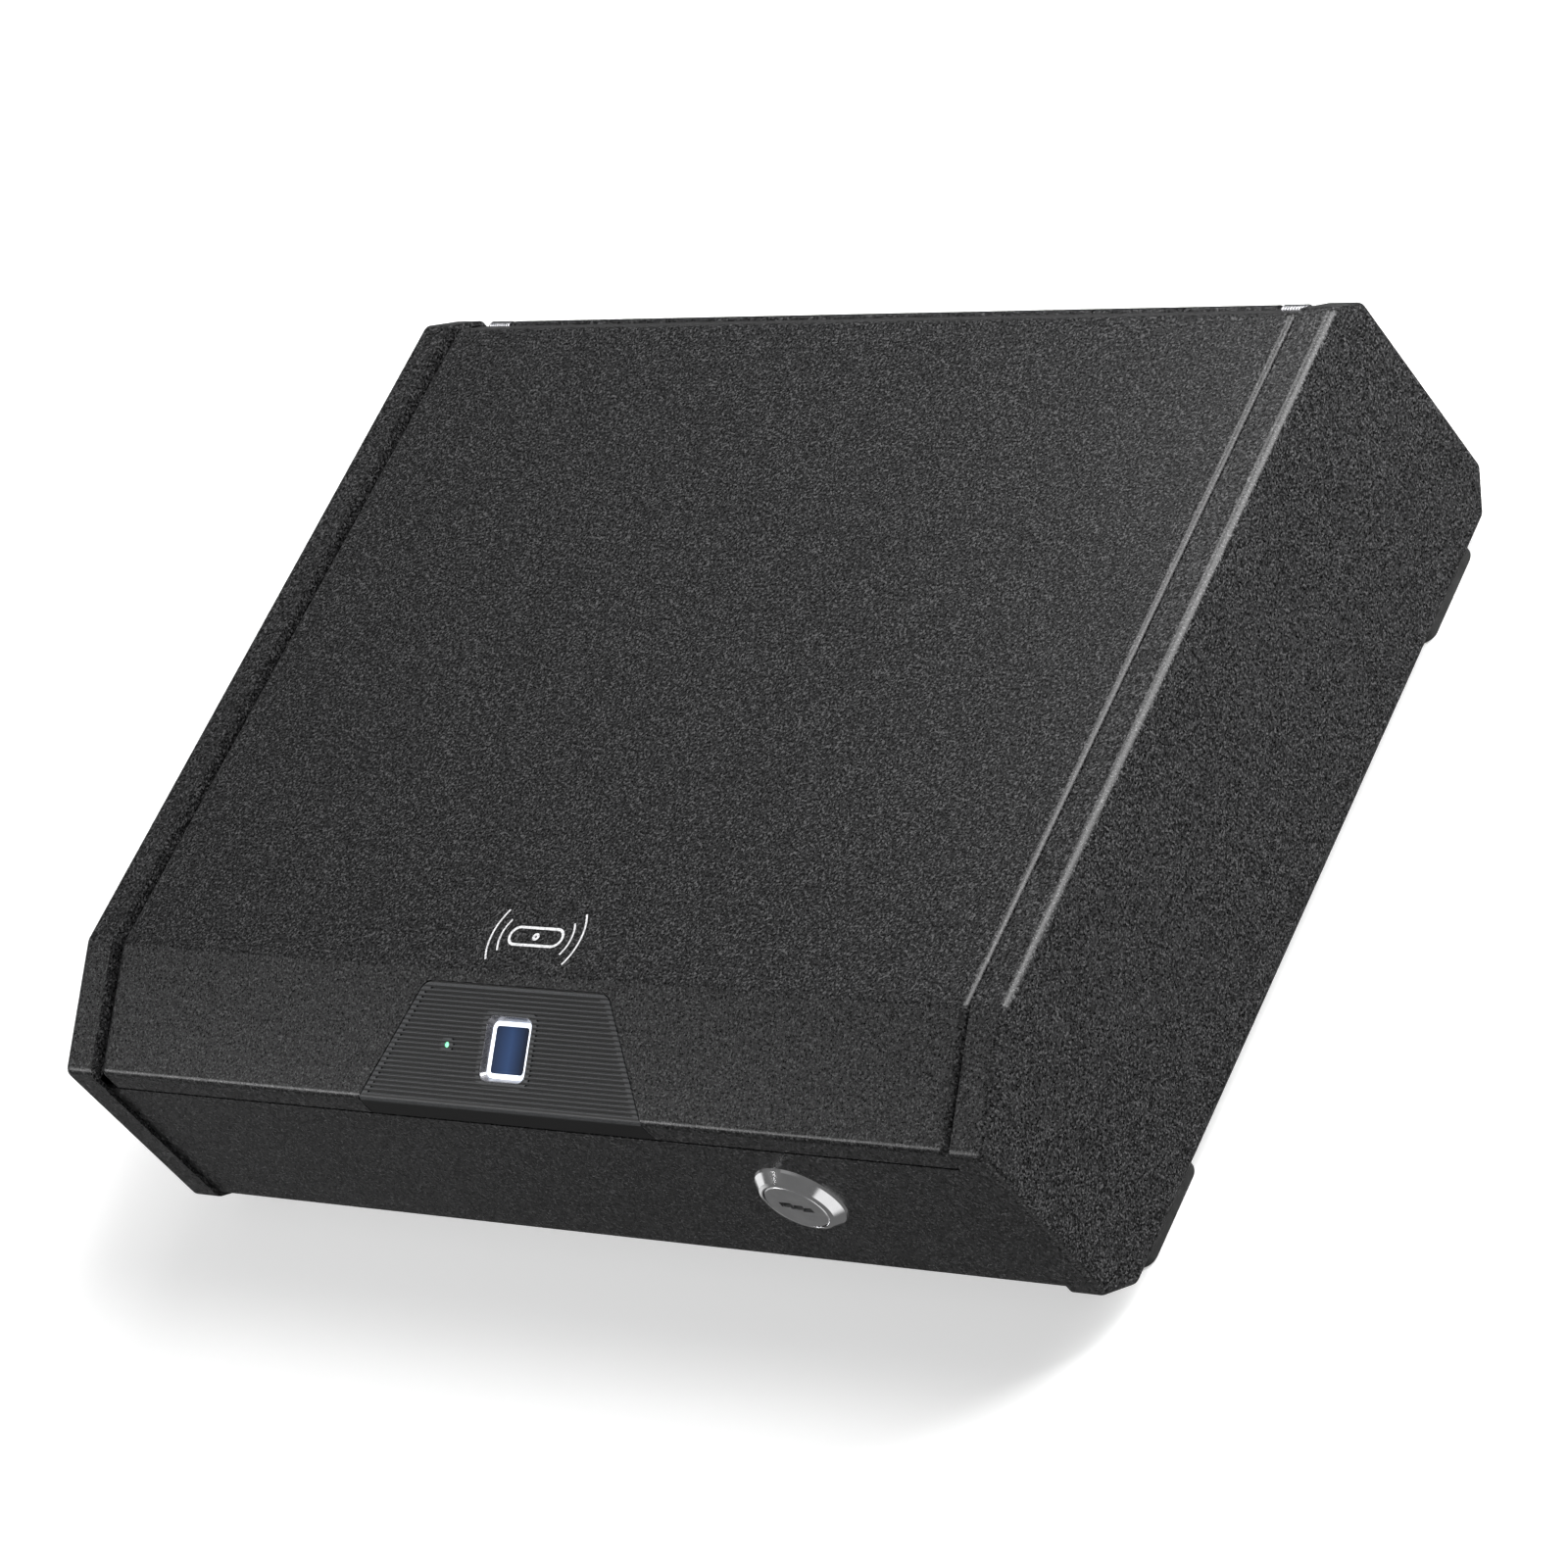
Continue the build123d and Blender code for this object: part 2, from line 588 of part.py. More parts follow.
def circuit_board():
    """Board with its chips, connector and the two switches."""
    x0, x1, y0, y1 = BOARD
    top = BOARD_Z + BOARD_T
    board = block(x0, x1, y0, y1, BOARD_Z, top)
    board += block(x0 + 12, x0 + 22, y0 + 18, y0 + 28, top, top + 1.2)
    board += block(x0 + 26, x0 + 31, y0 + 6, y0 + 11, top, top + 1.0)
    board += block(x0 + 1, x0 + 5, y0 + 8, y0 + 20, top, top + 3.0)
    board += post(x1 - 8, y0 + 14, top, top + 7.0, 3.0)
    bx, by = BUTTON
    board += block(bx - 3, bx + 3, by - 3, by + 3, BOARD_Z - 2.2, BOARD_Z)
    return board


def buzzer():
    can = post(BOARD[1] - 10, BOARD[3] - 10, BOARD_Z + BOARD_T, BOARD_Z + BOARD_T + 7.5, 6.0)
    can -= post(BOARD[1] - 10, BOARD[3] - 10, BOARD_Z + BOARD_T + 5, HEIGHT, 1.2)
    return can


def learn_button():
    bx, by = BUTTON
    inside = TRAY_Z + TRAY_WALL
    stem = post(bx, by, TRAY_Z - 0.8, inside + 0.3, BUTTON_R)
    stem = fillet(stem.faces().sort_by(Axis.Z)[0].edges(), 0.4)
    return stem + post(bx, by, inside + 0.1, inside + 0.7, BUTTON_R + 1.2)


def tray_screws():
    """Pan-head screws up through the tray's posts into the lid's studs."""
    screws = Part()
    for x, y in SCREW_SPOTS:
        head = post(x, y, TRAY_Z - 1.8, TRAY_Z, 2.8)
        head = fillet(head.faces().sort_by(Axis.Z)[0].edges(), 0.8)
        head -= Pos(x, y, TRAY_Z - 1.8) * Box(3.2, 0.7, 1.6)
        head -= Pos(x, y, TRAY_Z - 1.8) * Box(0.7, 3.2, 1.6)
        screws += head + post(x, y, TRAY_Z - 0.2, boss_top(y) + 4.5, SCREW_R)
    return screws


def sensor_ribbon():
    """Flat lead from the reader to the board's connector, folded over the motor."""
    z = 71.2
    t = 0.3
    start = (4.0, 67.0)
    end = (BOARD[0] + 3, BOARD_Z + BOARD_T + 3.0)
    path = [start, (8.0, z), (end[0] - 7, z), end]
    back = [(x, height - t) for x, height in reversed(path)]
    strip = make_face(Polyline(*path, *back, close=True))
    return extrude(Plane.XZ.offset(-29.0) * strip, -6.0)


# ---------------------------------------------------------------- latch drive in the lid
def involute_angle(radius, base):
    """Angle swept by the involute of a base circle where it reaches a radius."""
    pressure = acos(min(base / radius, 1.0))
    return tan(pressure) - pressure


def pinion_tooth(centre):
    """Corner points of one tooth, from its root on one side to its root on the other."""
    base = PITCH_R * cos(PRESSURE)
    root = PITCH_R - RACK_ADDENDUM - TOOTH_CLEAR
    tip = PITCH_R + MODULE
    half = pi / (2 * PINION_TEETH) - BACKLASH / (2 * PITCH_R) + involute_angle(PITCH_R, base)
    steps = 5
    flank = [(root, half)]
    for i in range(steps):
        radius = base + (tip - base) * i / (steps - 1)
        flank.append((radius, half - involute_angle(radius, base)))
    left = [(r, centre - a) for r, a in flank]
    right = [(r, centre + a) for r, a in reversed(flank)]
    return [(r * cos(a), r * sin(a)) for r, a in left + right]


def motor_pinion():
    """Small gear on the motor's shaft, with a gap facing straight down at rest."""
    pitch = 2 * pi / PINION_TEETH
    points = []
    for i in range(PINION_TEETH):
        points += pinion_tooth(-pi / 2 + (i + 0.5) * pitch)
    profile = make_face(Polyline(*points, close=True))
    gear = extrude(Plane.XZ.offset(-PINION_Y0) * Pos(PINION_X, PINION_Z) * profile, -PINION_FACE)
    gear += along_y(PINION_X, PINION_Z, PINION_Y0 + PINION_FACE, PINION_Y0 + PINION_FACE + 1.5, 2.6)
    return gear - along_y(PINION_X, PINION_Z, PINION_Y0 - 1, MOTOR_Y, SHAFT_R)


def motor_shaft():
    shaft = along_y(PINION_X, PINION_Z, PINION_Y0 - 0.6, MOTOR_Y + 3.5, SHAFT_R)
    return chamfer(shaft.faces().sort_by(Axis.Y)[0].edges(), 0.3)


def gear_motor():
    """Small gear motor: gearbox at the front, round-sided can behind it, two tags at the rear."""
    width, length, height = MOTOR
    gearbox = 9.0
    x0 = PINION_X - width / 2
    z0 = PINION_Z - height / 2
    box = block(x0, x0 + width, MOTOR_Y, MOTOR_Y + gearbox, z0, z0 + height)
    for level in (2.5, 4.5, 6.5):
        box -= block(x0 - 1, x0 + 0.5, MOTOR_Y + level, MOTOR_Y + level + 0.6, z0 - 1, z0 + height + 1)
        box -= block(x0 + width - 0.5, x0 + width + 1, MOTOR_Y + level, MOTOR_Y + level + 0.6,
                     z0 - 1, z0 + height + 1)
    can = along_y(PINION_X, PINION_Z, MOTOR_Y + gearbox, MOTOR_Y + length, width / 2)
    can &= block(x0, x0 + width, MOTOR_Y, MOTOR_Y + length + 1, z0, z0 + height)
    boss = along_y(PINION_X, PINION_Z, MOTOR_Y + length, MOTOR_Y + length + 1.2, 2.4)
    tags = Part()
    for side in (-1, 1):
        x = PINION_X + side * 3.6
        tags += block(x - 0.9, x + 0.9, MOTOR_Y + length, MOTOR_Y + length + 3, PINION_Z - 0.2,
                      PINION_Z + 0.2)
    bore = along_y(PINION_X, PINION_Z, MOTOR_Y - 1, MOTOR_Y + 4, SHAFT_R + 0.05)
    return box + can + boss + tags - bore


def motor_cradle():
    width, length, height = MOTOR
    floor = TRAY_Z + TRAY_WALL
    y0 = MOTOR_Y + 2
    cradle = block(PINION_X - 8.5, PINION_X + 8.5, y0, y0 + 14, floor, PINION_Z + 2)
    cradle += block(PINION_X - 14, PINION_X + 14, y0 + 3, y0 + 11, floor, floor + 2)
    return cradle - block(PINION_X - width / 2, PINION_X + width / 2, y0 - 1, y0 + 15,
                          PINION_Z - height / 2, HEIGHT)


def latch_bar():
    """Sliding bar with a rack on top and two toed hooks that reach down to the strike."""
    top = BAR_Z + BAR_T
    bar = block(BAR_X0, BAR_X1, BAR_Y0, BAR_Y1, BAR_Z, top)
    bar = fillet(bar.edges().filter_by(Axis.Z), 1.5)
    for x in HOOK_X:
        bar += block(x, x + HOOK_NECK, HOOK_Y0, HOOK_Y1, HOOK_Z, BAR_Z + 0.2)
        toe = block(x, x + HOOK_TOE, HOOK_Y0, HOOK_Y1, HOOK_Z, HOOK_Z + TOE_T)
        tip = toe.edges().filter_by(Axis.Y).sort_by(Axis.X)[-2:]
        bar += chamfer(tip.sort_by(Axis.Z)[-1], 1.0)
    pitch = pi * MODULE
    first = -(RACK_TEETH // 2) - 1
    for i in range(first, first + RACK_TEETH):
        bar += rack_tooth(PINION_X + i * pitch)
    return bar


def rack_tooth(x):
    half = pi * MODULE / 4 - BACKLASH / 2
    low = half + 1.25 * MODULE * tan(PRESSURE)
    high = half - RACK_ADDENDUM * tan(PRESSURE)
    root = BAR_Z + BAR_T - 0.1
    tooth = make_face(Polyline(
        (x - low, root), (x + low, root), (x + high, RACK_Z + RACK_ADDENDUM),
        (x - high, RACK_Z + RACK_ADDENDUM), close=True))
    return extrude(Plane.XZ.offset(-(BAR_Y0 + 1)) * tooth, -(BAR_Y1 - BAR_Y0 - 2))


def latch_guides():
    """Two bridges that hold the bar down on the tray's floor."""
    floor = TRAY_Z + TRAY_WALL
    guides = Part()
    for x0 in GUIDE_X:
        x1 = x0 + GUIDE_WIDTH
        bridge = block(x0, x1, BAR_Y0 - 3, BAR_Y1 + 3, floor, BAR_Z + BAR_T + 1.8)
        guides += bridge - block(x0 - 1, x1 + 1, BAR_Y0 - 0.1, BAR_Y1 + 0.1, BAR_Z - 0.1, BAR_Z + BAR_T + 0.1)
    return guides


# ---------------------------------------------------------------- strike on the front wall
def strike_bracket():
    """Back plate on the front wall with two shelves for the strike and a spring stop."""
    top = STRIKE_Z - SHELF_GAP
    x0 = SHELF_MIDDLE[0]
    plate = block(-PLATE_X, PLATE_X, INNER, INNER + SHEET, PLATE_LOW, top)
    for low, high in (SHELF_MIDDLE, SHELF_RIGHT):
        plate += block(low, high, INNER, STRIKE_Y1 - STRIKE_T - 0.5, top - STRIKE_T, top)
    plate += block(x0, x0 + SPRING_STOP_T, INNER, SPRING_Y + 5, SPRING_Z - 5, top)
    for x in SHOULDER_X:
        plate -= post(x, SHOULDER_Y, STRIKE_Z - 7, STRIKE_Z + 8, SCREW_R)
    return plate


def strike_slide():
    """Sliding plate that the latch hooks catch under; the key's cam pushes it clear of them."""
    top = STRIKE_Z + STRIKE_T
    slide = block(STRIKE_X0, STRIKE_X1, STRIKE_Y0, STRIKE_Y1, STRIKE_Z, top)
    rear = STRIKE_Y1 - STRIKE_T
    ear = SPRING_Y - 3.5
    slide += block(STRIKE_X0, PIN_SLOT_X + 7, rear, STRIKE_Y1, APRON_Z, top)
    slide += block(PIN_SLOT_X - 7, PIN_SLOT_X + 7, rear, STRIKE_Y1, LOCK_Z, top)
    slide += block(STRIKE_X0, STRIKE_X0 + 6, ear, STRIKE_Y0 + 0.2, STRIKE_Z, top)
    slide += block(STRIKE_X0 + 2, STRIKE_X0 + 2 + SPRING_STOP_T, ear, SPRING_Y + 3.5, SPRING_Z - 4, top)
    for x in HOOK_X:
        slide -= block(x - STRIKE_TRAVEL - 0.9, x + HOOK_NECK + LATCH_TRAVEL + 0.4,
                       HOOK_Y0 - 0.9, HOOK_Y1 + 0.9, STRIKE_Z - 1, top + 1)
    reach = SHOULDER_R + 0.2
    low = STRIKE_Z - 1
    high = top + 1
    for x in SHOULDER_X:
        far = x - STRIKE_TRAVEL - 0.2
        slide -= block(far, x, SHOULDER_Y - reach, SHOULDER_Y + reach, low, high)
        slide -= post(x, SHOULDER_Y, low, high, reach)
        slide -= post(far, SHOULDER_Y, low, high, reach)
    width = CAM_PIN_R + 0.32
    low = LOCK_Z + CAM_R * sin(CAM_REST) - CAM_PIN_R - 0.6
    high = LOCK_Z + CAM_R + CAM_PIN_R + 0.6
    slide -= block(PIN_SLOT_X - width, PIN_SLOT_X + width, STRIKE_Y0, 30, low, high)
    return slide


def strike_screws():
    """Shoulder screws that let the strike slide on its shelf."""
    screws = Part()
    shelf = STRIKE_Z - SHELF_GAP
    for x in SHOULDER_X:
        screw = post(x, SHOULDER_Y, shelf - 2.0, shelf + 0.1, SCREW_R)
        screw += post(x, SHOULDER_Y, shelf, STRIKE_Z + STRIKE_T + 0.1, SHOULDER_R)
        head = post(x, SHOULDER_Y, STRIKE_Z + STRIKE_T + 0.1, STRIKE_Z + STRIKE_T + 1.6, 3.6)
        head = fillet(head.faces().sort_by(Axis.Z)[-1].edges(), 0.5)
        screws += screw + head
    return screws


def strike_spring():
    """Envelope of the coil spring that returns the strike."""
    x0 = STRIKE_X0 + 2 + SPRING_STOP_T
    x1 = SHELF_MIDDLE[0]
    coil = along_x(SPRING_Y, SPRING_Z, x0, x1, SPRING_OUTER)
    return coil - along_x(SPRING_Y, SPRING_Z, x0 - 1, x1 + 1, SPRING_INNER)


# ---------------------------------------------------------------- key lock
def turned(points):
    """Turned part at the lock: (radius, y) corner points spun about the lock's axis."""
    return Pos(LOCK_X, 0, LOCK_Z) * revolve(make_face(Polyline(*points, close=True)), Axis.Y, 360)


def lock_housing():
    """Tapered bezel and barrel in one casting, with flats on the barrel."""
    front = SHEET - LOCK_PROJECTION
    seat = front + PLUG_FACE_T + 0.05
    body = turned([
        (PLUG_FACE_R + 0.2, front),
        (BEZEL_FRONT_R, front),
        (BEZEL_BASE_R - 0.3, SHEET - 0.7),
        (BEZEL_BASE_R, SHEET),
        (BARREL_R, SHEET),
        (BARREL_R, BARREL_END_Y),
        (PLUG_R + 0.05, BARREL_END_Y),
        (PLUG_R + 0.05, seat),
        (PLUG_FACE_R + 0.2, seat),
    ])
    rim = body.edges().filter_by(GeomType.CIRCLE).group_by(Axis.Y)[0]
    body = chamfer(rim.sort_by(SortBy.RADIUS)[-1], 0.5)
    spare = BARREL_FLATS / 2
    for side in (-1, 1):
        body -= Pos(LOCK_X, SHEET + 15, LOCK_Z + side * (spare + 5)) * Box(40, 30, 10)
    return body


def lock_nut():
    hexagon = RegularPolygon(12.0, 6, major_radius=False)
    nut = extrude(Plane.XZ.offset(-INNER) * Pos(LOCK_X, LOCK_Z) * hexagon, -4.0)
    return nut - along_y(LOCK_X, LOCK_Z, 0, 10, BARREL_R + 0.05)


def key_plug():
    """Turning plug with a stepped keyway and a square end for the cam."""
    front = SHEET - LOCK_PROJECTION
    plug = turned([
        (0, front),
        (PLUG_FACE_R - 0.3, front),
        (PLUG_FACE_R, front + 0.3),
        (PLUG_FACE_R, front + PLUG_FACE_T),
        (PLUG_R, front + PLUG_FACE_T),
        (PLUG_R, BARREL_END_Y + 0.2),
        (0, BARREL_END_Y + 0.2),
    ])
    for x, z, width in KEYWAY:
        plug -= Pos(LOCK_X + x, front + KEYWAY_DEPTH / 2 - 0.5, LOCK_Z + z) * Box(
            width, KEYWAY_DEPTH + 1, KEYWAY_HEIGHT)
    tenon = CAM_TENON / 2
    plug += block(LOCK_X - tenon, LOCK_X + tenon, BARREL_END_Y, CAM_Y + CAM_T, LOCK_Z - tenon, LOCK_Z + tenon)
    return plug - along_y(LOCK_X, LOCK_Z, CAM_Y - 6, CAM_Y + 5, SCREW_R)


def lock_cam():
    """Cam plate with the pin that drives the strike."""
    x = LOCK_X + CAM_R * cos(CAM_REST)
    z = LOCK_Z + CAM_R * sin(CAM_REST)
    cam = along_y(LOCK_X, LOCK_Z, CAM_Y, CAM_Y + CAM_T, 5.6)
    cam += along_y(x, z, CAM_Y, CAM_Y + CAM_T, 2.8)
    cam -= Pos(LOCK_X, CAM_Y, LOCK_Z) * Box(CAM_TENON, 10, CAM_TENON)
    return cam + along_y(x, z, CAM_Y + CAM_T - 0.2, STRIKE_Y1 + 1, CAM_PIN_R)


def cam_screw():
    face = CAM_Y + CAM_T
    head = along_y(LOCK_X, LOCK_Z, face, face + 2.0, 3.4)
    head = fillet(head.faces().sort_by(Axis.Y)[-1].edges(), 0.6)
    head -= Pos(LOCK_X, face + 2, LOCK_Z) * Box(4, 1.4, 0.8)
    head -= Pos(LOCK_X, face + 2, LOCK_Z) * Box(0.8, 1.4, 4)
    return head + along_y(LOCK_X, LOCK_Z, CAM_Y - 5, face + 0.1, SCREW_R)


# ---------------------------------------------------------------- nodes
def build_nodes():
    right_cap = side_cap()
    nodes = {
        "side_cap_right": right_cap,
        "side_cap_left": mirror(right_cap, about=Plane.YZ),
        "body_shell": body_shell(),
        "floor_foam": floor_foam(),
        "hinge_leaf_body": hinge_leaf_body(),
        "hinge_leaf_lid": hinge_leaf_lid(),
        "hinge_pin": hinge_pin(),
        "hinge_spring_left": hinge_spring(-1),
        "hinge_spring_right": hinge_spring(1),
        "lid_shell": lid_shell(),
        "lid_studs": lid_studs(),
        "lid_foam": lid_foam(),
        "sensor_panel": sensor_panel(),
        "sensor_bezel": sensor_bezel(),
        "sensor_light_ring": sensor_light_ring(),
        "sensor_glass": sensor_glass(),
        "sensor_module": sensor_module(),
        "sensor_ribbon": sensor_ribbon(),
        "status_led": status_led(),
        "electronics_tray": electronics_tray(),
        "tray_screws": tray_screws(),
        "battery_door": battery_door(),
        "battery_contacts": battery_contacts(),
        "circuit_board": circuit_board(),
        "buzzer": buzzer(),
        "learn_button": learn_button(),
        "gear_motor": gear_motor(),
        "motor_cradle": motor_cradle(),
        "motor_shaft": motor_shaft(),
        "motor_pinion": motor_pinion(),
        "latch_bar": latch_bar(),
        "latch_guides": latch_guides(),
        "strike_bracket": strike_bracket(),
        "strike_slide": strike_slide(),
        "strike_screws": strike_screws(),
        "strike_spring": strike_spring(),
        "lock_housing": lock_housing(),
        "lock_nut": lock_nut(),
        "key_plug": key_plug(),
        "lock_cam": lock_cam(),
        "cam_screw": cam_screw(),
    }
    for end, end_name in ((-1, "front"), (1, "rear")):
        for side, side_name in ((-1, "left"), (1, "right")):
            nodes["foot_%s_%s" % (end_name, side_name)] = foot(side, end)
    for column in range(len(CELL_X)):
        for row in range(len(CELL_ROWS)):
            name = "battery_%d" % (1 + column * len(CELL_ROWS) + row)
            nodes[name] = battery_cell(column, row)
    return nodes


os.makedirs("parts", exist_ok=True)
for node, shape in build_nodes().items():
    export_step(PLACE * shape, "parts/%s.step" % node)
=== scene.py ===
"""Studio scene for the slant-front gun safe: finishes, foam, springs, printed mark, light and camera."""
import json
from math import cos, pi, radians, sin, sqrt

import bmesh
import bpy
from mathutils import Matrix, Vector, noise


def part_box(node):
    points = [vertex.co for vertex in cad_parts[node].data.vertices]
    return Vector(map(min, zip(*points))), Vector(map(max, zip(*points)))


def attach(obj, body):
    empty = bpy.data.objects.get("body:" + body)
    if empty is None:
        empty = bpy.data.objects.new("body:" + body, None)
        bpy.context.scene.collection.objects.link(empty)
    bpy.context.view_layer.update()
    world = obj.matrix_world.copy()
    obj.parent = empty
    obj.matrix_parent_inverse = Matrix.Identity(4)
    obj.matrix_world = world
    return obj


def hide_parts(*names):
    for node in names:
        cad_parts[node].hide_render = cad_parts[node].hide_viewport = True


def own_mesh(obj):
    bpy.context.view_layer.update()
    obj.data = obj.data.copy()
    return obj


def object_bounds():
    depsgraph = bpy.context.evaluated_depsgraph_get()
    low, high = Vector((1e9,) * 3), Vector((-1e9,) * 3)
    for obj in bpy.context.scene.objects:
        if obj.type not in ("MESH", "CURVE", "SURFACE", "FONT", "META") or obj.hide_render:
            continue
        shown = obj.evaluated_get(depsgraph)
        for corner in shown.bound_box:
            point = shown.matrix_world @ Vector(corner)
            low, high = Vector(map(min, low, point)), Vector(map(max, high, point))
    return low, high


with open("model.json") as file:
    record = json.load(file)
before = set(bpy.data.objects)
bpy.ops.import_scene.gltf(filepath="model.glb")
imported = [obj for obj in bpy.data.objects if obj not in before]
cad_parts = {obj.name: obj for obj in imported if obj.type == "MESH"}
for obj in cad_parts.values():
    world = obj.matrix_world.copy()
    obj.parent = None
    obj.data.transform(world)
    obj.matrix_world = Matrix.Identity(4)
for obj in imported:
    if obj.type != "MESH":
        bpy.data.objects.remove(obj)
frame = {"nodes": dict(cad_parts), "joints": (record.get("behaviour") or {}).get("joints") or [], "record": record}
CAD_LOW, CAD_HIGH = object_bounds()
MM = 0.001


# ---------------------------------------------------------------- view
LENS = 140.4
VIEW_HEADING = -57.0      # degrees from +Y towards +X
VIEW_DIP = 38.76          # degrees below level
VIEW_ROLL = -41.37        # the photograph's view is rolled
VIEW_DISTANCE = 1.519
VIEW_OFFSET = Vector((5.35, 0.12, -6.89)) * MM      # aim point, from the middle of the side caps
SENSOR_WIDTH = 36
FAR_CLIP = 50


def aim(heading, dip, roll):
    """Camera axes that look along a heading and a dip, then roll about the line of sight."""
    forward = Vector((sin(heading) * cos(dip), cos(heading) * cos(dip), -sin(dip)))
    right = forward.cross(Vector((0, 0, 1))).normalized()
    up = right.cross(forward)
    turned_right = right * cos(roll) + up * sin(roll)
    turned_up = turned_right.cross(forward)
    return forward, Matrix((turned_right, turned_up, -forward)).transposed()


def make_camera():
    data = bpy.data.cameras.new("camera")
    data.lens = LENS
    data.sensor_width = SENSOR_WIDTH
    data.clip_end = FAR_CLIP
    camera = bpy.data.objects.new("camera", data)
    bpy.context.scene.collection.objects.link(camera)
    forward, axes = aim(radians(VIEW_HEADING), radians(VIEW_DIP), radians(VIEW_ROLL))
    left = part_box("side_cap_left")
    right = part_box("side_cap_right")
    target = (left[0] + right[1]) / 2 + VIEW_OFFSET
    camera.matrix_world = Matrix.Translation(target - forward * VIEW_DISTANCE) @ axes.to_4x4()
    bpy.context.scene.camera = camera


# ---------------------------------------------------------------- shader helper
class Finish:
    """One material: adds nodes, links them and sets the shader's own sockets."""

    def __init__(self, name, **values):
        self.material = bpy.data.materials.new(name)
        self.material.use_nodes = True
        self.tree = self.material.node_tree
        self.shader = self.tree.nodes["Principled BSDF"]
        self.coordinates = self.add("ShaderNodeTexCoord").outputs["Object"]
        for socket, value in values.items():
            self.shader.inputs[socket.replace("_", " ")].default_value = value

    def add(self, kind, **settings):
        node = self.tree.nodes.new(kind)
        for name, value in settings.items():
            setattr(node, name, value)
        return node

    def link(self, source, target):
        self.tree.links.new(source, target)
        return source

    def noise(self, size, detail=2.0, roughness=0.5, distortion=0.0, source=None):
        """Noise whose features are about size millimetres across."""
        node = self.add("ShaderNodeTexNoise")
        node.inputs["Scale"].default_value = 1 / (size * MM)
        node.inputs["Detail"].default_value = detail
        node.inputs["Roughness"].default_value = roughness
        node.inputs["Distortion"].default_value = distortion
        self.link(source or self.coordinates, node.inputs["Vector"])
        return node.outputs["Fac"]

    def cells(self, size):
        """Distance to the nearest of a set of points about size millimetres apart."""
        node = self.add("ShaderNodeTexVoronoi")
        node.inputs["Scale"].default_value = 1 / (size * MM)
        self.link(self.coordinates, node.inputs["Vector"])
        return node.outputs["Distance"]

    def stretch(self, factors):
        """Coordinates scaled along each axis, for brushed or streaky patterns."""
        node = self.add("ShaderNodeMapping")
        node.inputs["Scale"].default_value = factors
        self.link(self.coordinates, node.inputs["Vector"])
        return node.outputs["Vector"]

    def ramp(self, source, stops):
        """Colour ramp with (position, colour) stops."""
        node = self.add("ShaderNodeValToRGB")
        elements = node.color_ramp.elements
        while len(elements) < len(stops):
            elements.new(0.5)
        for element, (position, colour) in zip(elements, stops):
            element.position = position
            element.color = (*colour, 1.0)
        self.link(source, node.inputs["Fac"])
        return node.outputs["Color"]

    def spread(self, source, low, high, low_in=0.0, high_in=1.0):
        """Maps low_in..high_in to low..high, and stops at the ends."""
        node = self.add("ShaderNodeMapRange")
        node.inputs["From Min"].default_value = low_in
        node.inputs["From Max"].default_value = high_in
        node.inputs["To Min"].default_value = low
        node.inputs["To Max"].default_value = high
        self.link(source, node.inputs["Value"])
        return node.outputs["Result"]

    def blend(self, amount, first, second, kind="MIX"):
        node = self.add("ShaderNodeMix", data_type="RGBA", blend_type=kind)
        self.plug(amount, node.inputs[0])
        self.plug(first, node.inputs[6])
        self.plug(second, node.inputs[7])
        return node.outputs[2]

    def plug(self, value, socket):
        """Feeds a socket from another node, or sets it to a colour or a number."""
        if isinstance(value, bpy.types.NodeSocket):
            self.link(value, socket)
        elif isinstance(value, tuple):
            socket.default_value = (*value, 1.0)
        else:
            socket.default_value = value

    def maths(self, operation, first, second=0.0):
        node = self.add("ShaderNodeMath", operation=operation)
        self.plug(first, node.inputs[0])
        self.plug(second, node.inputs[1])
        return node.outputs[0]

    def axis(self, name):
        node = self.add("ShaderNodeSeparateXYZ")
        self.link(self.coordinates, node.inputs[0])
        return node.outputs[name]

    def bump(self, height, depth, strength=1.0, under=None):
        """Bump of a given depth in millimetres."""
        node = self.add("ShaderNodeBump")
        node.inputs["Strength"].default_value = strength
        node.inputs["Distance"].default_value = depth * MM
        self.link(height, node.inputs["Height"])
        if under is not None:
            self.link(under, node.inputs["Normal"])
        return node.outputs["Normal"]

    def colour(self, source):
        self.link(source, self.shader.inputs["Base Color"])

    def rough(self, source):
        self.link(source, self.shader.inputs["Roughness"])

    def normal(self, source):
        self.link(source, self.shader.inputs["Normal"])


# ---------------------------------------------------------------- finishes
RIB_PITCH = 1.2 * MM
FIRST_RIB = 1.6 * MM      # from the panel's back edge, along the slant
SLANT_COS = 0.906
WRAP_SPARE = 0.1 * MM     # keeps a cell's far tip inside its pattern


def powder_coat():
    """Black sandy powder coat: sub-millimetre grain with dark pits and lighter flecks."""
    f = Finish("powder_coat", IOR=1.38, Specular_IOR_Level=0.5)
    grain = f.noise(0.66, detail=3.0, roughness=0.75)
    patches = f.noise(38.0)
    pits = (0.0006, 0.0006, 0.0006)
    peaks = (0.034, 0.034, 0.035)
    body = f.ramp(grain, [(0.42, pits), (0.5, (0.006, 0.006, 0.0062)), (0.6, peaks)])
    flecks = f.ramp(f.noise(0.55, detail=1.0), [(0.58, (0, 0, 0)), (0.66, (1, 1, 1))])
    tone = f.blend(f.spread(patches, 0.0, 0.2), body, (0.01, 0.01, 0.0103))
    f.colour(f.blend(f.maths("MULTIPLY", flecks, 0.55), tone, (0.12, 0.12, 0.122)))
    f.rough(f.spread(grain, 0.25, 0.42, 0.35, 0.65))
    f.normal(f.bump(grain, 0.036, 0.7))
    return f.material


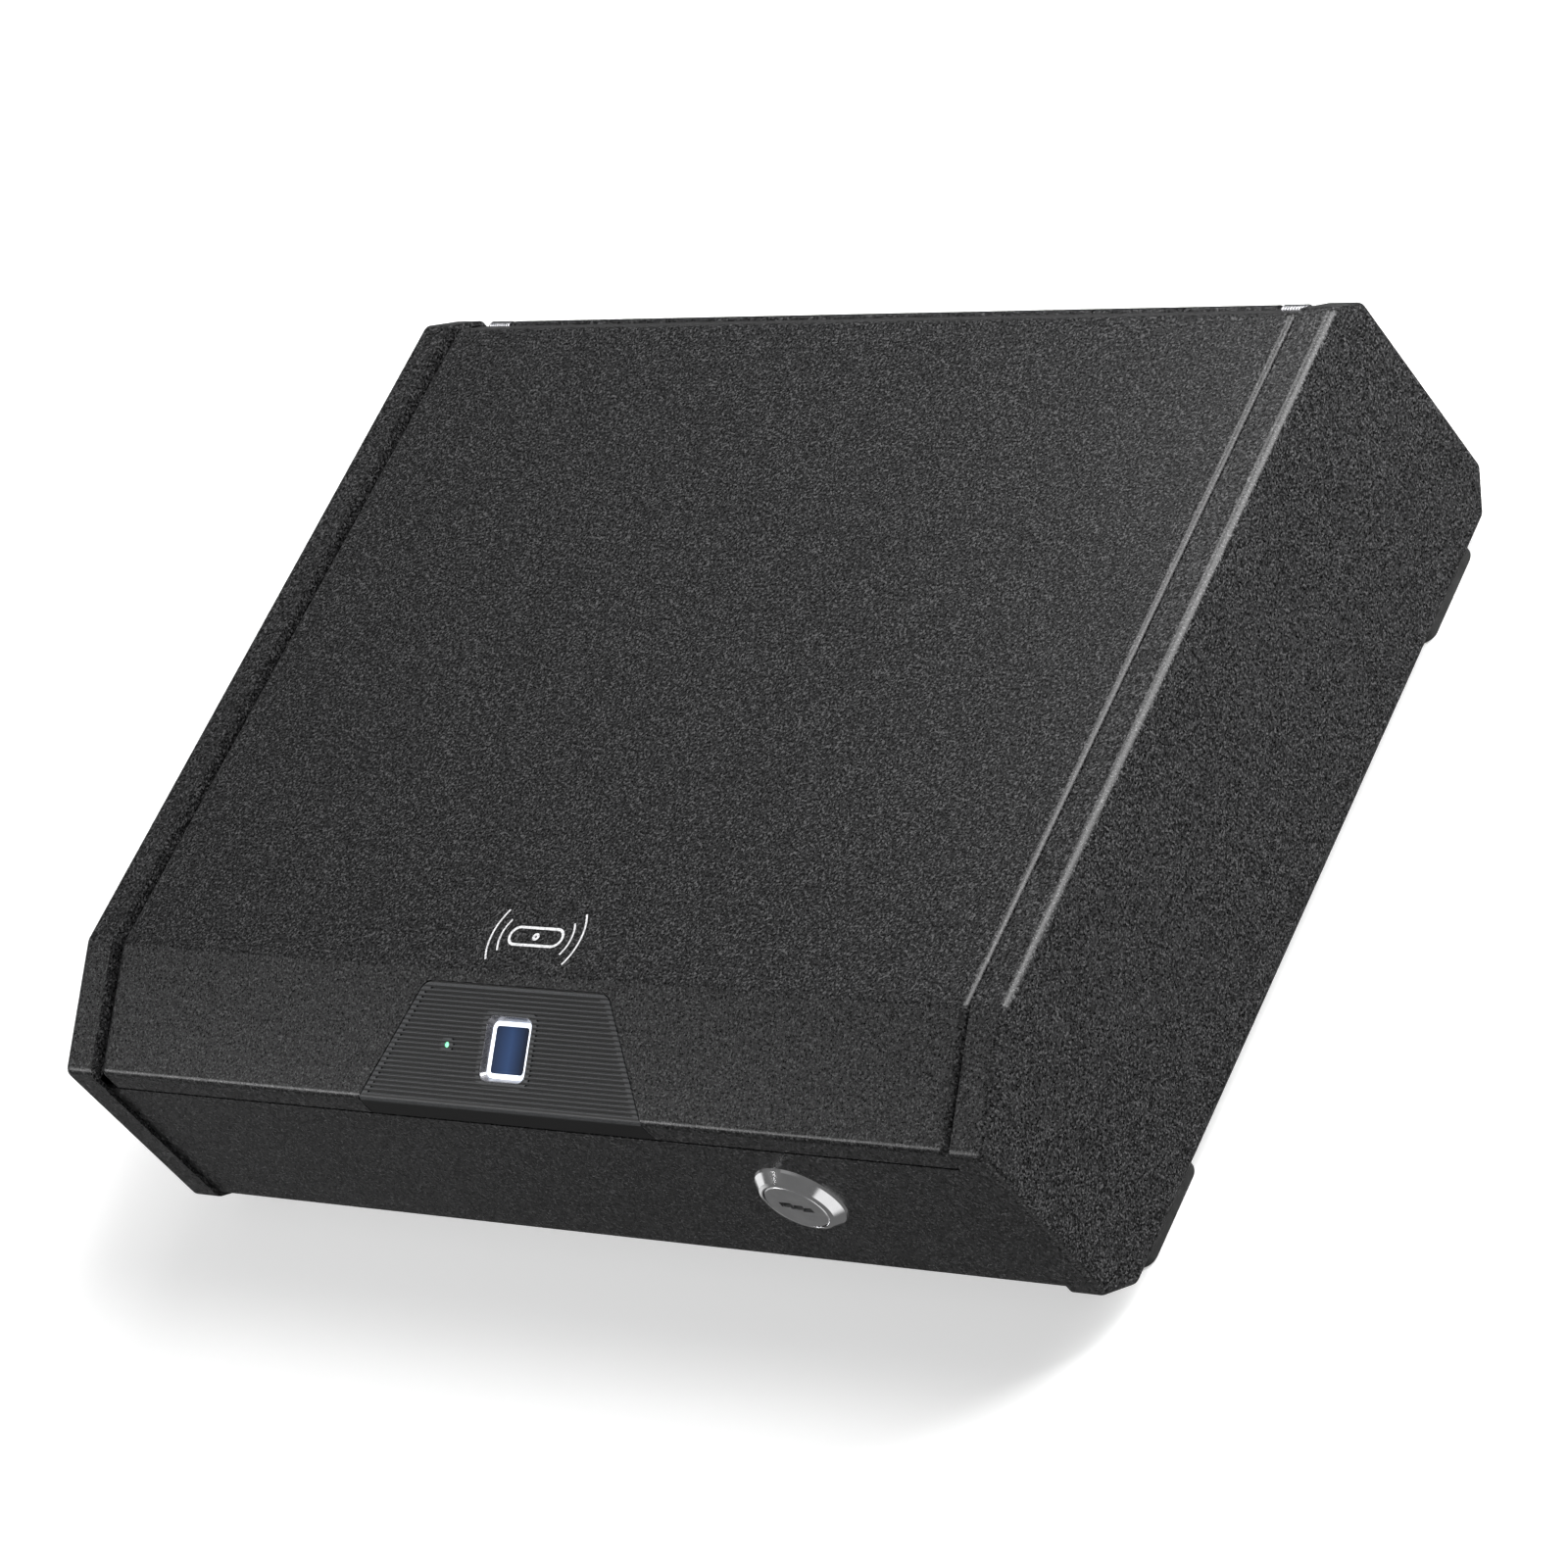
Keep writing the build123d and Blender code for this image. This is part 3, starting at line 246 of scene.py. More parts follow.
def panel_plastic():
    """Satin moulded plastic with a fine spark texture, with painted shade in the grooves between its ribs."""
    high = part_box("sensor_panel")[1]
    f = Finish("panel_plastic", Specular_IOR_Level=0.4)
    grain = f.noise(0.3, detail=2.0)
    back = f.maths("SUBTRACT", high.y - FIRST_RIB * SLANT_COS, f.axis("Y"))
    turns = f.maths("MULTIPLY", back, 2 * pi / (RIB_PITCH * SLANT_COS))
    groove = f.spread(f.maths("COSINE", turns), 0, 1, -1, 1)
    ridge = f.ramp(grain, [(0.35, (0.03, 0.031, 0.033)), (0.65, (0.062, 0.064, 0.067))])
    # painted shade: the colour falls to near black along each groove between the ribs
    f.colour(f.blend(f.spread(groove, 0.0, 1.0, 0.45, 0.8), ridge, (0.002, 0.002, 0.0022)))
    f.rough(f.spread(groove, 0.34, 0.55))
    f.normal(f.bump(grain, 0.012, 0.6))
    return f.material


def lock_rings(f, pitch):
    """Height rings round the lock's axis, pitch millimetres apart."""
    low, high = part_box("lock_housing")
    offset = f.add("ShaderNodeVectorMath", operation="SUBTRACT")
    f.link(f.coordinates, offset.inputs[0])
    offset.inputs[1].default_value = (low + high) / 2
    flat = f.add("ShaderNodeVectorMath", operation="MULTIPLY")
    f.link(offset.outputs[0], flat.inputs[0])
    flat.inputs[1].default_value = (1, 0, 1)
    length = f.add("ShaderNodeVectorMath", operation="LENGTH")
    f.link(flat.outputs[0], length.inputs[0])
    wave = f.maths("SINE", f.maths("MULTIPLY", length.outputs["Value"], 2 * pi / (pitch * MM)))
    return f.spread(wave, 0, 1, -1, 1)


def turned_chrome():
    """Bright plating with faint turning rings round the lock's axis."""
    f = Finish("lock_chrome", Metallic=1.0)
    f.colour(f.ramp(f.noise(6.0, detail=3.0), [(0.3, (0.84, 0.84, 0.85)), (0.75, (0.97, 0.97, 0.98))]))
    f.rough(f.spread(f.noise(1.2, detail=4.0), 0.06, 0.16))
    f.normal(f.bump(lock_rings(f, 0.14), 0.004, 0.5))
    return f.material


def plug_metal():
    """Satin cut metal, for the plug's face and small machined pieces."""
    f = Finish("plug_metal", Metallic=1.0)
    f.colour(f.ramp(f.noise(3.0, detail=4.0), [(0.3, (0.78, 0.78, 0.79)), (0.75, (0.93, 0.93, 0.94))]))
    f.rough(f.spread(f.noise(0.5, detail=3.0), 0.26, 0.42))
    f.normal(f.bump(lock_rings(f, 0.22), 0.006, 0.5, f.bump(f.noise(0.3, detail=3.0), 0.008, 0.5)))
    return f.material


def plated_steel():
    """Zinc plate: cloudy spangle and rolling streaks."""
    f = Finish("plated_steel", Metallic=1.0)
    clouds = f.noise(5.0, detail=5.0, roughness=0.6)
    bright = (0.66, 0.65, 0.61)
    f.colour(f.ramp(clouds, [(0.3, (0.42, 0.42, 0.41)), (0.6, (0.58, 0.58, 0.57)), (0.8, bright)]))
    streaks = f.noise(0.25, detail=2.0, source=f.stretch((0.06, 1.0, 1.0)))
    f.rough(f.spread(clouds, 0.24, 0.42))
    f.normal(f.bump(streaks, 0.01, 0.6))
    return f.material


def spring_steel():
    """Drawn wire with an oil-dark skin."""
    f = Finish("spring_steel", Metallic=1.0)
    f.colour(f.ramp(f.noise(0.9, detail=3.0), [(0.3, (0.16, 0.16, 0.17)), (0.8, (0.34, 0.34, 0.35))]))
    f.rough(f.spread(f.noise(0.4), 0.25, 0.4))
    f.normal(f.bump(f.noise(0.12), 0.006, 0.6))
    return f.material


def foot_rubber():
    """Matte rubber, slightly mottled."""
    f = Finish("foot_rubber", Specular_IOR_Level=0.35)
    f.colour(f.ramp(f.noise(2.5, detail=4.0), [(0.3, (0.014, 0.014, 0.014)), (0.75, (0.028, 0.028, 0.028))]))
    f.rough(f.spread(f.noise(0.7, detail=3.0), 0.68, 0.85))
    f.normal(f.bump(f.noise(0.3, detail=3.0), 0.03, 0.7))
    return f.material


def open_foam():
    """Open-cell foam: a matte web, with painted shade in the hollows of its cells."""
    f = Finish("foam", Specular_IOR_Level=0.2, Sheen_Weight=0.25, Sheen_Roughness=0.6)
    cells = f.cells(1.1)
    fine = f.cells(0.5)
    web = f.maths("MULTIPLY", cells, f.spread(fine, 0.55, 1.0, 0.0, 0.7))
    strands = (0.06, 0.06, 0.064)
    # painted shade: near black at each cell's middle, where the bump sinks the surface, rising to the strands'
    # colour
    f.colour(f.ramp(web, [(0.05, (0.006, 0.006, 0.007)), (0.3, (0.028, 0.028, 0.03)), (0.62, strands)]))
    f.rough(f.spread(fine, 0.86, 0.98))
    f.normal(f.bump(web, 0.35, 0.9))
    return f.material


def tray_plastic():
    """Spark-textured moulding."""
    f = Finish("tray_plastic", Specular_IOR_Level=0.45)
    grain = f.noise(0.3, detail=3.0)
    f.colour(f.ramp(f.noise(9.0, detail=2.0), [(0.3, (0.022, 0.022, 0.023)), (0.7, (0.033, 0.033, 0.034))]))
    f.rough(f.spread(grain, 0.42, 0.58))
    f.normal(f.bump(grain, 0.03, 0.6))
    return f.material


def bezel_silver():
    """Satin metal-coloured trim round the reader."""
    f = Finish("bezel_silver", Metallic=1.0)
    f.colour(f.ramp(f.noise(2.0), [(0.3, (0.2, 0.2, 0.215)), (0.7, (0.3, 0.3, 0.32))]))
    f.rough(f.spread(f.noise(0.3, detail=2.0), 0.22, 0.34))
    f.normal(f.bump(f.noise(0.2), 0.003, 0.4))
    return f.material


def light_white():
    """Translucent light guide, lit fairly evenly, with a faint random unevenness."""
    f = Finish("light_white", Emission_Strength=1.15, Roughness=0.4)
    glow = f.ramp(f.noise(4.0, detail=1.0), [(0.3, (0.78, 0.84, 0.95)), (0.7, (0.92, 0.95, 1.0))])
    f.colour(glow)
    f.link(glow, f.shader.inputs["Emission Color"])
    f.rough(f.spread(f.noise(0.4), 0.3, 0.45))
    return f.material


def sensor_glass():
    """Dark blue-black reader window with a painted blue sheen, lightest in the middle and darkest at the right,
    which also feeds its emission as a painted glow.
    """
    low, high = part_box("sensor_glass")
    f = Finish("sensor_glass", Coat_Weight=0.3, Coat_Roughness=0.05, Emission_Strength=0.5)
    across = f.spread(f.axis("X"), 0, 1, low.x, high.x)
    painted_sheen_peak = (0.022, 0.045, 0.11)
    # painted sheen and glow: the colour, fed to the emission too, is lightest in the middle and darkest at the
    # right
    glass_and_painted_sheen = f.ramp(across, [(0.0, (0.012, 0.02, 0.045)), (0.5, painted_sheen_peak), (1.0, (0.006, 0.008, 0.016))])
    f.colour(glass_and_painted_sheen)
    f.link(glass_and_painted_sheen, f.shader.inputs["Emission Color"])
    f.rough(f.spread(f.noise(0.6, detail=3.0), 0.1, 0.2))
    f.normal(f.bump(f.noise(0.35, detail=2.0), 0.004, 0.4))
    return f.material


def led_green():
    """Lit lamp, with a paler patch where the light is strongest."""
    f = Finish("led_green", Emission_Strength=1.3, Roughness=0.25)
    glow = f.ramp(f.noise(1.0), [(0.3, (0.12, 0.5, 0.28)), (0.7, (0.3, 0.85, 0.5))])
    f.colour(glow)
    f.link(glow, f.shader.inputs["Emission Color"])
    return f.material


def board_green():
    """Solder mask over copper tracks."""
    f = Finish("board_green", Specular_IOR_Level=0.5)
    brick = f.add("ShaderNodeTexBrick")
    brick.inputs["Scale"].default_value = 1 / (2.4 * MM)
    brick.inputs["Mortar Size"].default_value = 0.03
    brick.inputs["Color1"].default_value = (0.012, 0.075, 0.035, 1)
    brick.inputs["Color2"].default_value = (0.016, 0.09, 0.042, 1)
    brick.inputs["Mortar"].default_value = (0.05, 0.16, 0.07, 1)
    f.link(f.coordinates, brick.inputs["Vector"])
    f.colour(brick.outputs["Color"])
    f.rough(f.spread(f.noise(1.5, detail=3.0), 0.22, 0.36))
    f.normal(f.bump(brick.outputs["Fac"], 0.02, 0.6))
    return f.material


def ribbon_film():
    """Amber film over parallel copper wires."""
    f = Finish("ribbon", Specular_IOR_Level=0.5)
    wires = f.maths("SINE", f.maths("MULTIPLY", f.axis("Y"), 2 * pi / (0.5 * MM)))
    f.colour(f.ramp(f.spread(wires, 0, 1, -1, 1), [(0.35, (0.3, 0.13, 0.03)), (0.65, (0.55, 0.3, 0.09))]))
    f.rough(f.spread(f.noise(1.0), 0.25, 0.4))
    f.normal(f.bump(wires, 0.02, 0.5))
    return f.material


def battery_wrap():
    """Plain dark sleeve with a copper band at one end and bare metal at both tips."""
    low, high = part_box("battery_1")
    period = high.x - low.x + WRAP_SPARE
    f = Finish("battery_wrap", Coat_Weight=0.4, Coat_Roughness=0.12)
    phase = f.maths("FRACT", f.maths("DIVIDE", f.maths("SUBTRACT", f.axis("X"), low.x), period))
    metal = (0.5, 0.5, 0.5)
    dark = (0.02, 0.02, 0.022)
    copper = (0.42, 0.2, 0.07)
    bands = [(0.028, metal), (0.032, dark), (0.7, dark), (0.71, copper), (0.965, copper), (0.97, metal)]
    sleeve = f.ramp(phase, bands)
    scuffs = f.noise(3.0, detail=5.0)
    f.colour(f.blend(f.spread(scuffs, 0.0, 0.12), sleeve, (0.12, 0.12, 0.12)))
    f.rough(f.spread(scuffs, 0.22, 0.4))
    f.normal(f.bump(f.noise(0.8, detail=2.0), 0.01, 0.4))
    return f.material


def pinion_brass():
    """Cut brass, brushed along the pinion's axis."""
    f = Finish("pinion_brass", Metallic=1.0)
    f.colour(f.ramp(f.noise(1.6, detail=4.0), [(0.3, (0.5, 0.33, 0.11)), (0.75, (0.72, 0.53, 0.24))]))
    f.rough(f.spread(f.noise(0.5, detail=3.0), 0.22, 0.36))
    f.normal(f.bump(f.noise(0.2, source=f.stretch((1, 0.1, 1))), 0.008, 0.5))
    return f.material


def button_red():
    """Moulded red cap."""
    f = Finish("button_red", Specular_IOR_Level=0.5)
    f.colour(f.ramp(f.noise(1.4, detail=3.0), [(0.3, (0.42, 0.02, 0.015)), (0.75, (0.52, 0.035, 0.025))]))
    f.rough(f.spread(f.noise(0.3, detail=2.0), 0.32, 0.45))
    f.normal(f.bump(f.noise(0.2), 0.008, 0.5))
    return f.material


def buzzer_black():
    """Smooth, slightly glossy housing."""
    f = Finish("buzzer_black", Specular_IOR_Level=0.5)
    f.colour(f.ramp(f.noise(2.0, detail=2.0), [(0.3, (0.01, 0.01, 0.011)), (0.7, (0.018, 0.018, 0.019))]))
    f.rough(f.spread(f.noise(0.5, detail=2.0), 0.22, 0.34))
    f.normal(f.bump(f.noise(0.3), 0.01, 0.5))
    return f.material


def print_white():
    """Screen-printed ink, thin enough for the coat's grain to show."""
    f = Finish("print_white", Specular_IOR_Level=0.4)
    grain = f.noise(0.5, detail=3.0, roughness=0.6)
    f.colour(f.ramp(grain, [(0.3, (0.3, 0.3, 0.31)), (0.55, (0.6, 0.6, 0.61)), (0.75, (0.75, 0.75, 0.76))]))
    f.rough(f.spread(grain, 0.5, 0.7))
    f.normal(f.bump(grain, 0.05, 0.6))
    return f.material


FINISHES = {
    "powder_coat": powder_coat,
    "panel_plastic": panel_plastic,
    "lock_chrome": turned_chrome,
    "plug_metal": plug_metal,
    "plated_steel": plated_steel,
    "spring_steel": spring_steel,
    "foot_rubber": foot_rubber,
    "foam": open_foam,
    "tray_plastic": tray_plastic,
    "bezel_silver": bezel_silver,
    "light_white": light_white,
    "sensor_glass": sensor_glass,
    "led_green": led_green,
    "board_green": board_green,
    "ribbon": ribbon_film,
    "battery_wrap": battery_wrap,
    "pinion_brass": pinion_brass,
    "button_red": button_red,
    "buzzer_black": buzzer_black,
    "print_white": print_white,
}


def dress_nodes(finishes):
    """Gives every CAD node the finish of its material slot."""
    for part in frame["record"]["subparts"]:
        node = frame["nodes"][part["node"]]
        node.data.materials.clear()
        node.data.materials.append(finishes[part["material_slot"]])


# ---------------------------------------------------------------- pieces
TUBE_SIDES = 10


def add_piece(name, vertices, faces, finish, body, smooth=True):
    """A mesh in the row frame that rides on a body and takes a material slot."""
    mesh = bpy.data.meshes.new(name)
    mesh.from_pydata([tuple(v) for v in vertices], [], faces)
    mesh.update()
    tidy = bmesh.new()
    tidy.from_mesh(mesh)
    bmesh.ops.recalc_face_normals(tidy, faces=tidy.faces)
    tidy.to_mesh(mesh)
    tidy.free()
    for polygon in mesh.polygons:
        polygon.use_smooth = smooth
    mesh.materials.append(finish)
    piece = bpy.data.objects.new(name, mesh)
    bpy.context.scene.collection.objects.link(piece)
    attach(piece, body)
    return piece


def tube(points, radius, sides=TUBE_SIDES):
    """Vertices and faces of a closed tube along a list of points."""
    vertices = []
    faces = []
    side = None
    for i, point in enumerate(points):
        ahead = points[min(i + 1, len(points) - 1)]
        behind = points[max(i - 1, 0)]
        along = (ahead - behind).normalized()
        if side is None:
            side = along.orthogonal().normalized()
        side = (side - along * side.dot(along)).normalized()
        other = along.cross(side)
        for k in range(sides):
            turn = 2 * pi * k / sides
            vertices.append(point + (side * cos(turn) + other * sin(turn)) * radius)
    for i in range(len(points) - 1):
        for k in range(sides):
            a = i * sides + k
            b = i * sides + (k + 1) % sides
            faces.append((a, b, b + sides, a + sides))
    last = (len(points) - 1) * sides
    faces.append(tuple(range(sides))[::-1])
    faces.append(tuple(last + k for k in range(sides)))
    return vertices, faces


# ---------------------------------------------------------------- springs
WIRE_R = 0.4 * MM
STRIKE_WIRE_R = 0.35 * MM
HINGE_COIL_TURNS = 9
STRIKE_COIL_TURNS = 9
LEG_TURN = 1 / 8          # the coil stops short of whole turns, to meet the lid's leg
COIL_STEPS = 18           # points in each turn
WALL_LEG_STEPS = 6
LID_LEG_STEPS = 8
LID_LEG = 10 * MM
COIL_MEAN_R = 1.9 * MM
BEVEL_UP = Vector((0, -sqrt(0.5), sqrt(0.5)))
BEVEL_OUT = Vector((0, sqrt(0.5), sqrt(0.5)))


def joint_named(name):
    """The frame's entry for a joint."""
    return next(j for j in frame["joints"] if j["name"] == name)


def hinge_spring(side, word):
    """Torsion spring: the coil and its wall leg stay with the case, the other leg goes with the lid."""
    low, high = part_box("hinge_spring_" + word)
    axis = Vector(joint_named("lid_hinge")["pos_m"])
    near = low.x + WIRE_R if side > 0 else high.x - WIRE_R
    far = high.x - WIRE_R if side > 0 else low.x + WIRE_R
    first = Vector((near, axis.y, axis.z))
    last = Vector((far, axis.y, axis.z))
    wall_y = axis.y - COIL_MEAN_R
    rise = (axis.z - low.z) / WALL_LEG_STEPS
    foot = [Vector((near, wall_y, low.z + rise * i)) for i in range(WALL_LEG_STEPS)]
    coil = coil_points(first, last, COIL_MEAN_R, LEG_TURN - HINGE_COIL_TURNS, pi)
    steel = finishes["spring_steel"]
    vertices, faces = tube(foot + coil, WIRE_R)
    coil_piece = add_piece(f"hinge_coil_{word}", vertices, faces, steel, "case")
    start = last - BEVEL_OUT * COIL_MEAN_R
    leg = [start + BEVEL_UP * LID_LEG * i / LID_LEG_STEPS for i in range(LID_LEG_STEPS + 1)]
    vertices, faces = tube(leg, WIRE_R)
    add_piece(f"hinge_leg_{word}", vertices, faces, steel, "lid")
    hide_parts("hinge_spring_" + word)


def coil_points(start, end, radius, turns, phase):
    """Points of a coil about the X axis; negative turns wind the other way."""
    count = int(abs(turns) * COIL_STEPS)
    points = []
    for i in range(count + 1):
        share = i / count
        angle = phase + 2 * pi * turns * share
        points.append(start.lerp(end, share) + Vector((0, cos(angle), sin(angle))) * radius)
    return points


def strike_spring():
    """Compression spring with closed end turns, between the strike's ear and the bracket."""
    low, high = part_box("strike_spring")
    middle = (low + high) / 2
    radius = (high.z - low.z) / 2 - STRIKE_WIRE_R
    start = Vector((low.x + STRIKE_WIRE_R, middle.y, middle.z))
    end = Vector((high.x - STRIKE_WIRE_R, middle.y, middle.z))
    closed = 2 * STRIKE_WIRE_R * Vector((1, 0, 0))
    points = coil_points(start, start + closed, radius, 1, 0)
    points += coil_points(start + closed, end - closed, radius, STRIKE_COIL_TURNS, 0)[1:]
    points += coil_points(end - closed, end, radius, 1, 0)[1:]
    vertices, faces = tube(points, STRIKE_WIRE_R)
    piece = add_piece("strike_coil", vertices, faces, finishes["spring_steel"], "case")
    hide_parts("strike_spring")
    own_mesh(piece)


# ---------------------------------------------------------------- foam
FOAM_CORNER = 6 * MM
ANCHOR_CLEAR = 9 * MM
FOAM_VOXEL = 1.3 * MM
EGG_PITCH = 17 * MM
EGG_DEPTH = 3.4 * MM
EGG_STEP = 1.7 * MM
EGG_MARGIN = 7 * MM
FOAM_EDGE = 2 * MM
CORNER_STEPS = 6
HOLE_STEPS = 32
SOFTEN_ROUNDS = 5
MAT_SINK = 0.35 * MM      # mean fall of the mat's top
MAT_WAVE = 0.3 * MM
LONG_WAVE = 26 * MM
SHORT_WAVE = 9 * MM
PAD_LAYERS = 4            # rings in the lid pad's wall
PAD_BULGE = 0.8 * MM
PAD_LIFT = 0.3 * MM       # keeps the peaks inside the pad's own space
PAD_BACK_EASE = 0.3       # how much less the back's edge is rounded


def ring_points(x, y, radius, count):
    """Evenly spaced points on a circle."""
    turns = [2 * pi * i / count for i in range(count)]
    return [Vector((x + radius * cos(turn), y + radius * sin(turn))) for turn in turns]


def rounded_rectangle(low, high, radius, steps=CORNER_STEPS):
    """Corner arcs of a rectangle, anticlockwise."""
    corners = ((high.x, high.y, 0), (low.x, high.y, 1), (low.x, low.y, 2), (high.x, low.y, 3))
    points = []
    for x, y, quarter in corners:
        cx = x - radius if x == high.x else x + radius
        cy = y - radius if y == high.y else y + radius
        for i in range(steps + 1):
            angle = pi / 2 * (quarter + i / steps)
            points.append(Vector((cx + radius * cos(angle), cy + radius * sin(angle))))
    return points


def anchor_spots():
    """Centres of the four anchor holes, from the record's bolt pattern."""
    mount = next(m for m in frame["record"]["mounts"] if m["name"] == "anchor_holes")
    x, y = mount["pos_m"][:2]
    half_x = mount["dims"]["spacing_x_mm"] / 2 * MM
    half_y = mount["dims"]["spacing_y_mm"] / 2 * MM
    return [(x + sx * half_x, y + sy * half_y) for sx in (-1, 1) for sy in (-1, 1)]


def applied(piece):
    """Bakes a piece's modifiers into its mesh."""
    graph = bpy.context.evaluated_depsgraph_get()
    mesh = bpy.data.meshes.new_from_object(piece.evaluated_get(graph))
    piece.modifiers.clear()
    piece.data = mesh
    return piece


def floor_foam():
    """Soft mat with softened edges, cut out round the anchor holes, its top faintly uneven."""
    low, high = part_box("floor_foam")
    loops = [rounded_rectangle(low, high, FOAM_CORNER)]
    loops += [ring_points(x, y, ANCHOR_CLEAR, HOLE_STEPS) for x, y in anchor_spots()]
    shape = bmesh.new()
    for loop in loops:
        corners = [shape.verts.new((p.x, p.y, low.z)) for p in loop]
        for i, corner in enumerate(corners):
            shape.edges.new((corner, corners[(i + 1) % len(corners)]))
    bmesh.ops.triangle_fill(shape, edges=shape.edges[:], use_beauty=True)
    raised = bmesh.ops.extrude_face_region(shape, geom=shape.faces[:])["geom"]
    for item in raised:
        if isinstance(item, bmesh.types.BMVert):
            item.co.z = high.z
    bmesh.ops.recalc_face_normals(shape, faces=shape.faces[:])
    mesh = bpy.data.meshes.new("floor_mat")
    shape.to_mesh(mesh)
    shape.free()
    piece = bpy.data.objects.new("floor_mat", mesh)
    bpy.context.scene.collection.objects.link(piece)
    remesh = piece.modifiers.new("voxels", "REMESH")
    remesh.mode = "VOXEL"
    remesh.voxel_size = FOAM_VOXEL
    soften = piece.modifiers.new("soften", "SMOOTH")
    soften.factor = 0.5
    soften.iterations = SOFTEN_ROUNDS
    applied(piece)
    for vertex in piece.data.vertices:
        share = (vertex.co.z - low.z) / (high.z - low.z)
        if share > 0.5:
            wave = noise.noise(vertex.co / LONG_WAVE) + 0.5 * noise.noise(vertex.co / SHORT_WAVE)
            vertex.co.z -= (MAT_SINK + MAT_WAVE * wave) * (share - 0.5) * 2
    finish_pad(piece, "case", "floor_foam")


def egg_crate(x, y, edge, low, round_off):
    """Height of the lid pad's face: hollows fade out towards the edge."""
    fade = min(max((edge - FOAM_EDGE) / EGG_MARGIN, 0), 1)
    wave = 0.5 + 0.5 * sin(2 * pi * x / EGG_PITCH) * sin(2 * pi * y / EGG_PITCH)
    return low.z + PAD_LIFT + round_off + EGG_DEPTH * wave * fade * fade * (3 - 2 * fade)


def lid_foam():
    """Convoluted foam under the roof: rounded peaks and hollows that point down, flat at the edges."""
    low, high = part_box("lid_foam")
    nx = round((high.x - low.x) / EGG_STEP)
    ny = round((high.y - low.y) / EGG_STEP)
    vertices = []
    for side in (0, 1):
        for j in range(ny + 1):
            for i in range(nx + 1):
                x = low.x + (high.x - low.x) * i / nx
                y = low.y + (high.y - low.y) * j / ny
                edge = min(x - low.x, high.x - x, y - low.y, high.y - y)
                x, y = tuck_corner(x, y, low, high)
                hollow = max(FOAM_EDGE ** 2 - max(FOAM_EDGE - edge, 0) ** 2, 0)
                round_off = FOAM_EDGE - sqrt(hollow)
                if side:
                    z = high.z - PAD_BACK_EASE * round_off
                else:
                    z = egg_crate(x, y, edge, low, round_off)
                vertices.append(Vector((x, y, z)))
    row = nx + 1
    sheet = row * (ny + 1)
    faces = []
    for j in range(ny):
        for i in range(nx):
            a = j * row + i
            b = a + sheet
            faces.append((a, a + row, a + row + 1, a + 1))
            faces.append((b, b + 1, b + row + 1, b + row))
    rim = list(range(row))
    rim += [j * row + nx for j in range(1, ny + 1)]
    rim += [ny * row + i for i in range(nx - 1, -1, -1)]
    rim += [j * row for j in range(ny - 1, 0, -1)]
    centre = Vector(((low.x + high.x) / 2, (low.y + high.y) / 2, 0))
    previous = rim
    for layer in range(1, PAD_LAYERS):
        share = layer / PAD_LAYERS
        ring = []
        for index in rim:
            bottom = vertices[index]
            inward = (centre - Vector((bottom.x, bottom.y, 0))).normalized()
            ring.append(len(vertices))
            level = bottom.lerp(vertices[index + sheet], share)
            vertices.append(level + inward * PAD_BULGE * sin(pi * share))
        stitch(faces, previous, ring)
        previous = ring
    stitch(faces, previous, [index + sheet for index in rim])
    piece = add_piece("lid_pad", vertices, faces, finishes["foam"], "lid")
    finish_pad(piece, "lid", "lid_foam")


def tuck_corner(x, y, low, high):
    """Pulls a grid point in so that the rectangle's corners are round."""
    cx = min(max(x, low.x + FOAM_CORNER), high.x - FOAM_CORNER)
    cy = min(max(y, low.y + FOAM_CORNER), high.y - FOAM_CORNER)
    away = Vector((x - cx, y - cy))
    if min(abs(away.x), abs(away.y)) == 0:
        return x, y
    square = max(abs(away.x), abs(away.y))
    away = away * (square / away.length)
    return cx + away.x, cy + away.y


def stitch(faces, ring, other):
    """Joins two rings of points with a band of faces."""
    for k in range(len(ring)):
        after = (k + 1) % len(ring)
        faces.append((ring[k], ring[after], other[after], other[k]))


def finish_pad(piece, body, node):
    """Gives a pad its finish and its body, and hides the CAD node that it stands for."""
    piece.data.materials.clear()
    piece.data.materials.append(finishes["foam"])
    for polygon in piece.data.polygons:
        polygon.use_smooth = True
    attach(piece, body)
    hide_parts(node)


# ---------------------------------------------------------------- printed mark
MARK_SETBACK = 41.8 * MM      # from the front of the side caps
PILL_LINE = 0.75 * MM
ARC_LINE = 0.5 * MM
INK_T = 0.05 * MM
MARK_ARCS = ((11.4 * MM, 9.0 * MM), (14.4 * MM, 14.5 * MM))      # reach from the middle, and radius
ARC_HALF_SWEEP = 30
ARC_STEPS = 14
PILL_STEPS = 12
DOT_STEPS = 16
PILL_HALF = 6.0 * MM
PILL_R = 2.5 * MM
DOT_R = 0.7 * MM


def stroke(points, width, z):
    """Closed flat ribbon of ink along a list of (x, y) points."""
    vertices = []
    for i, point in enumerate(points):
        ahead = points[min(i + 1, len(points) - 1)]
        behind = points[max(i - 1, 0)]
        along = (ahead - behind).normalized()
        across = Vector((-along.y, along.x)) * width / 2
        for side in (across, -across):
            for level in (z - INK_T, z + INK_T):
                vertices.append(Vector((point.x + side.x, point.y + side.y, level)))
    faces = [(0, 1, 3, 2)]
    for i in range(len(points) - 1):
        a = i * 4
        b = a + 4
        faces += [(a, b, b + 1, a + 1), (a + 1, b + 1, b + 3, a + 3)]
        faces += [(a + 3, b + 3, b + 2, a + 2), (a + 2, b + 2, b, a)]
    last = (len(points) - 1) * 4
    faces.append((last, last + 2, last + 3, last + 1))
    return vertices, faces


def arc(x, y, radius, middle, half_sweep, steps):
    """Points on an arc, angles in degrees."""
    start = middle - half_sweep
    turns = [radians(start + 2 * half_sweep * i / steps) for i in range(steps + 1)]
    return [Vector((x + radius * cos(turn), y + radius * sin(turn))) for turn in turns]


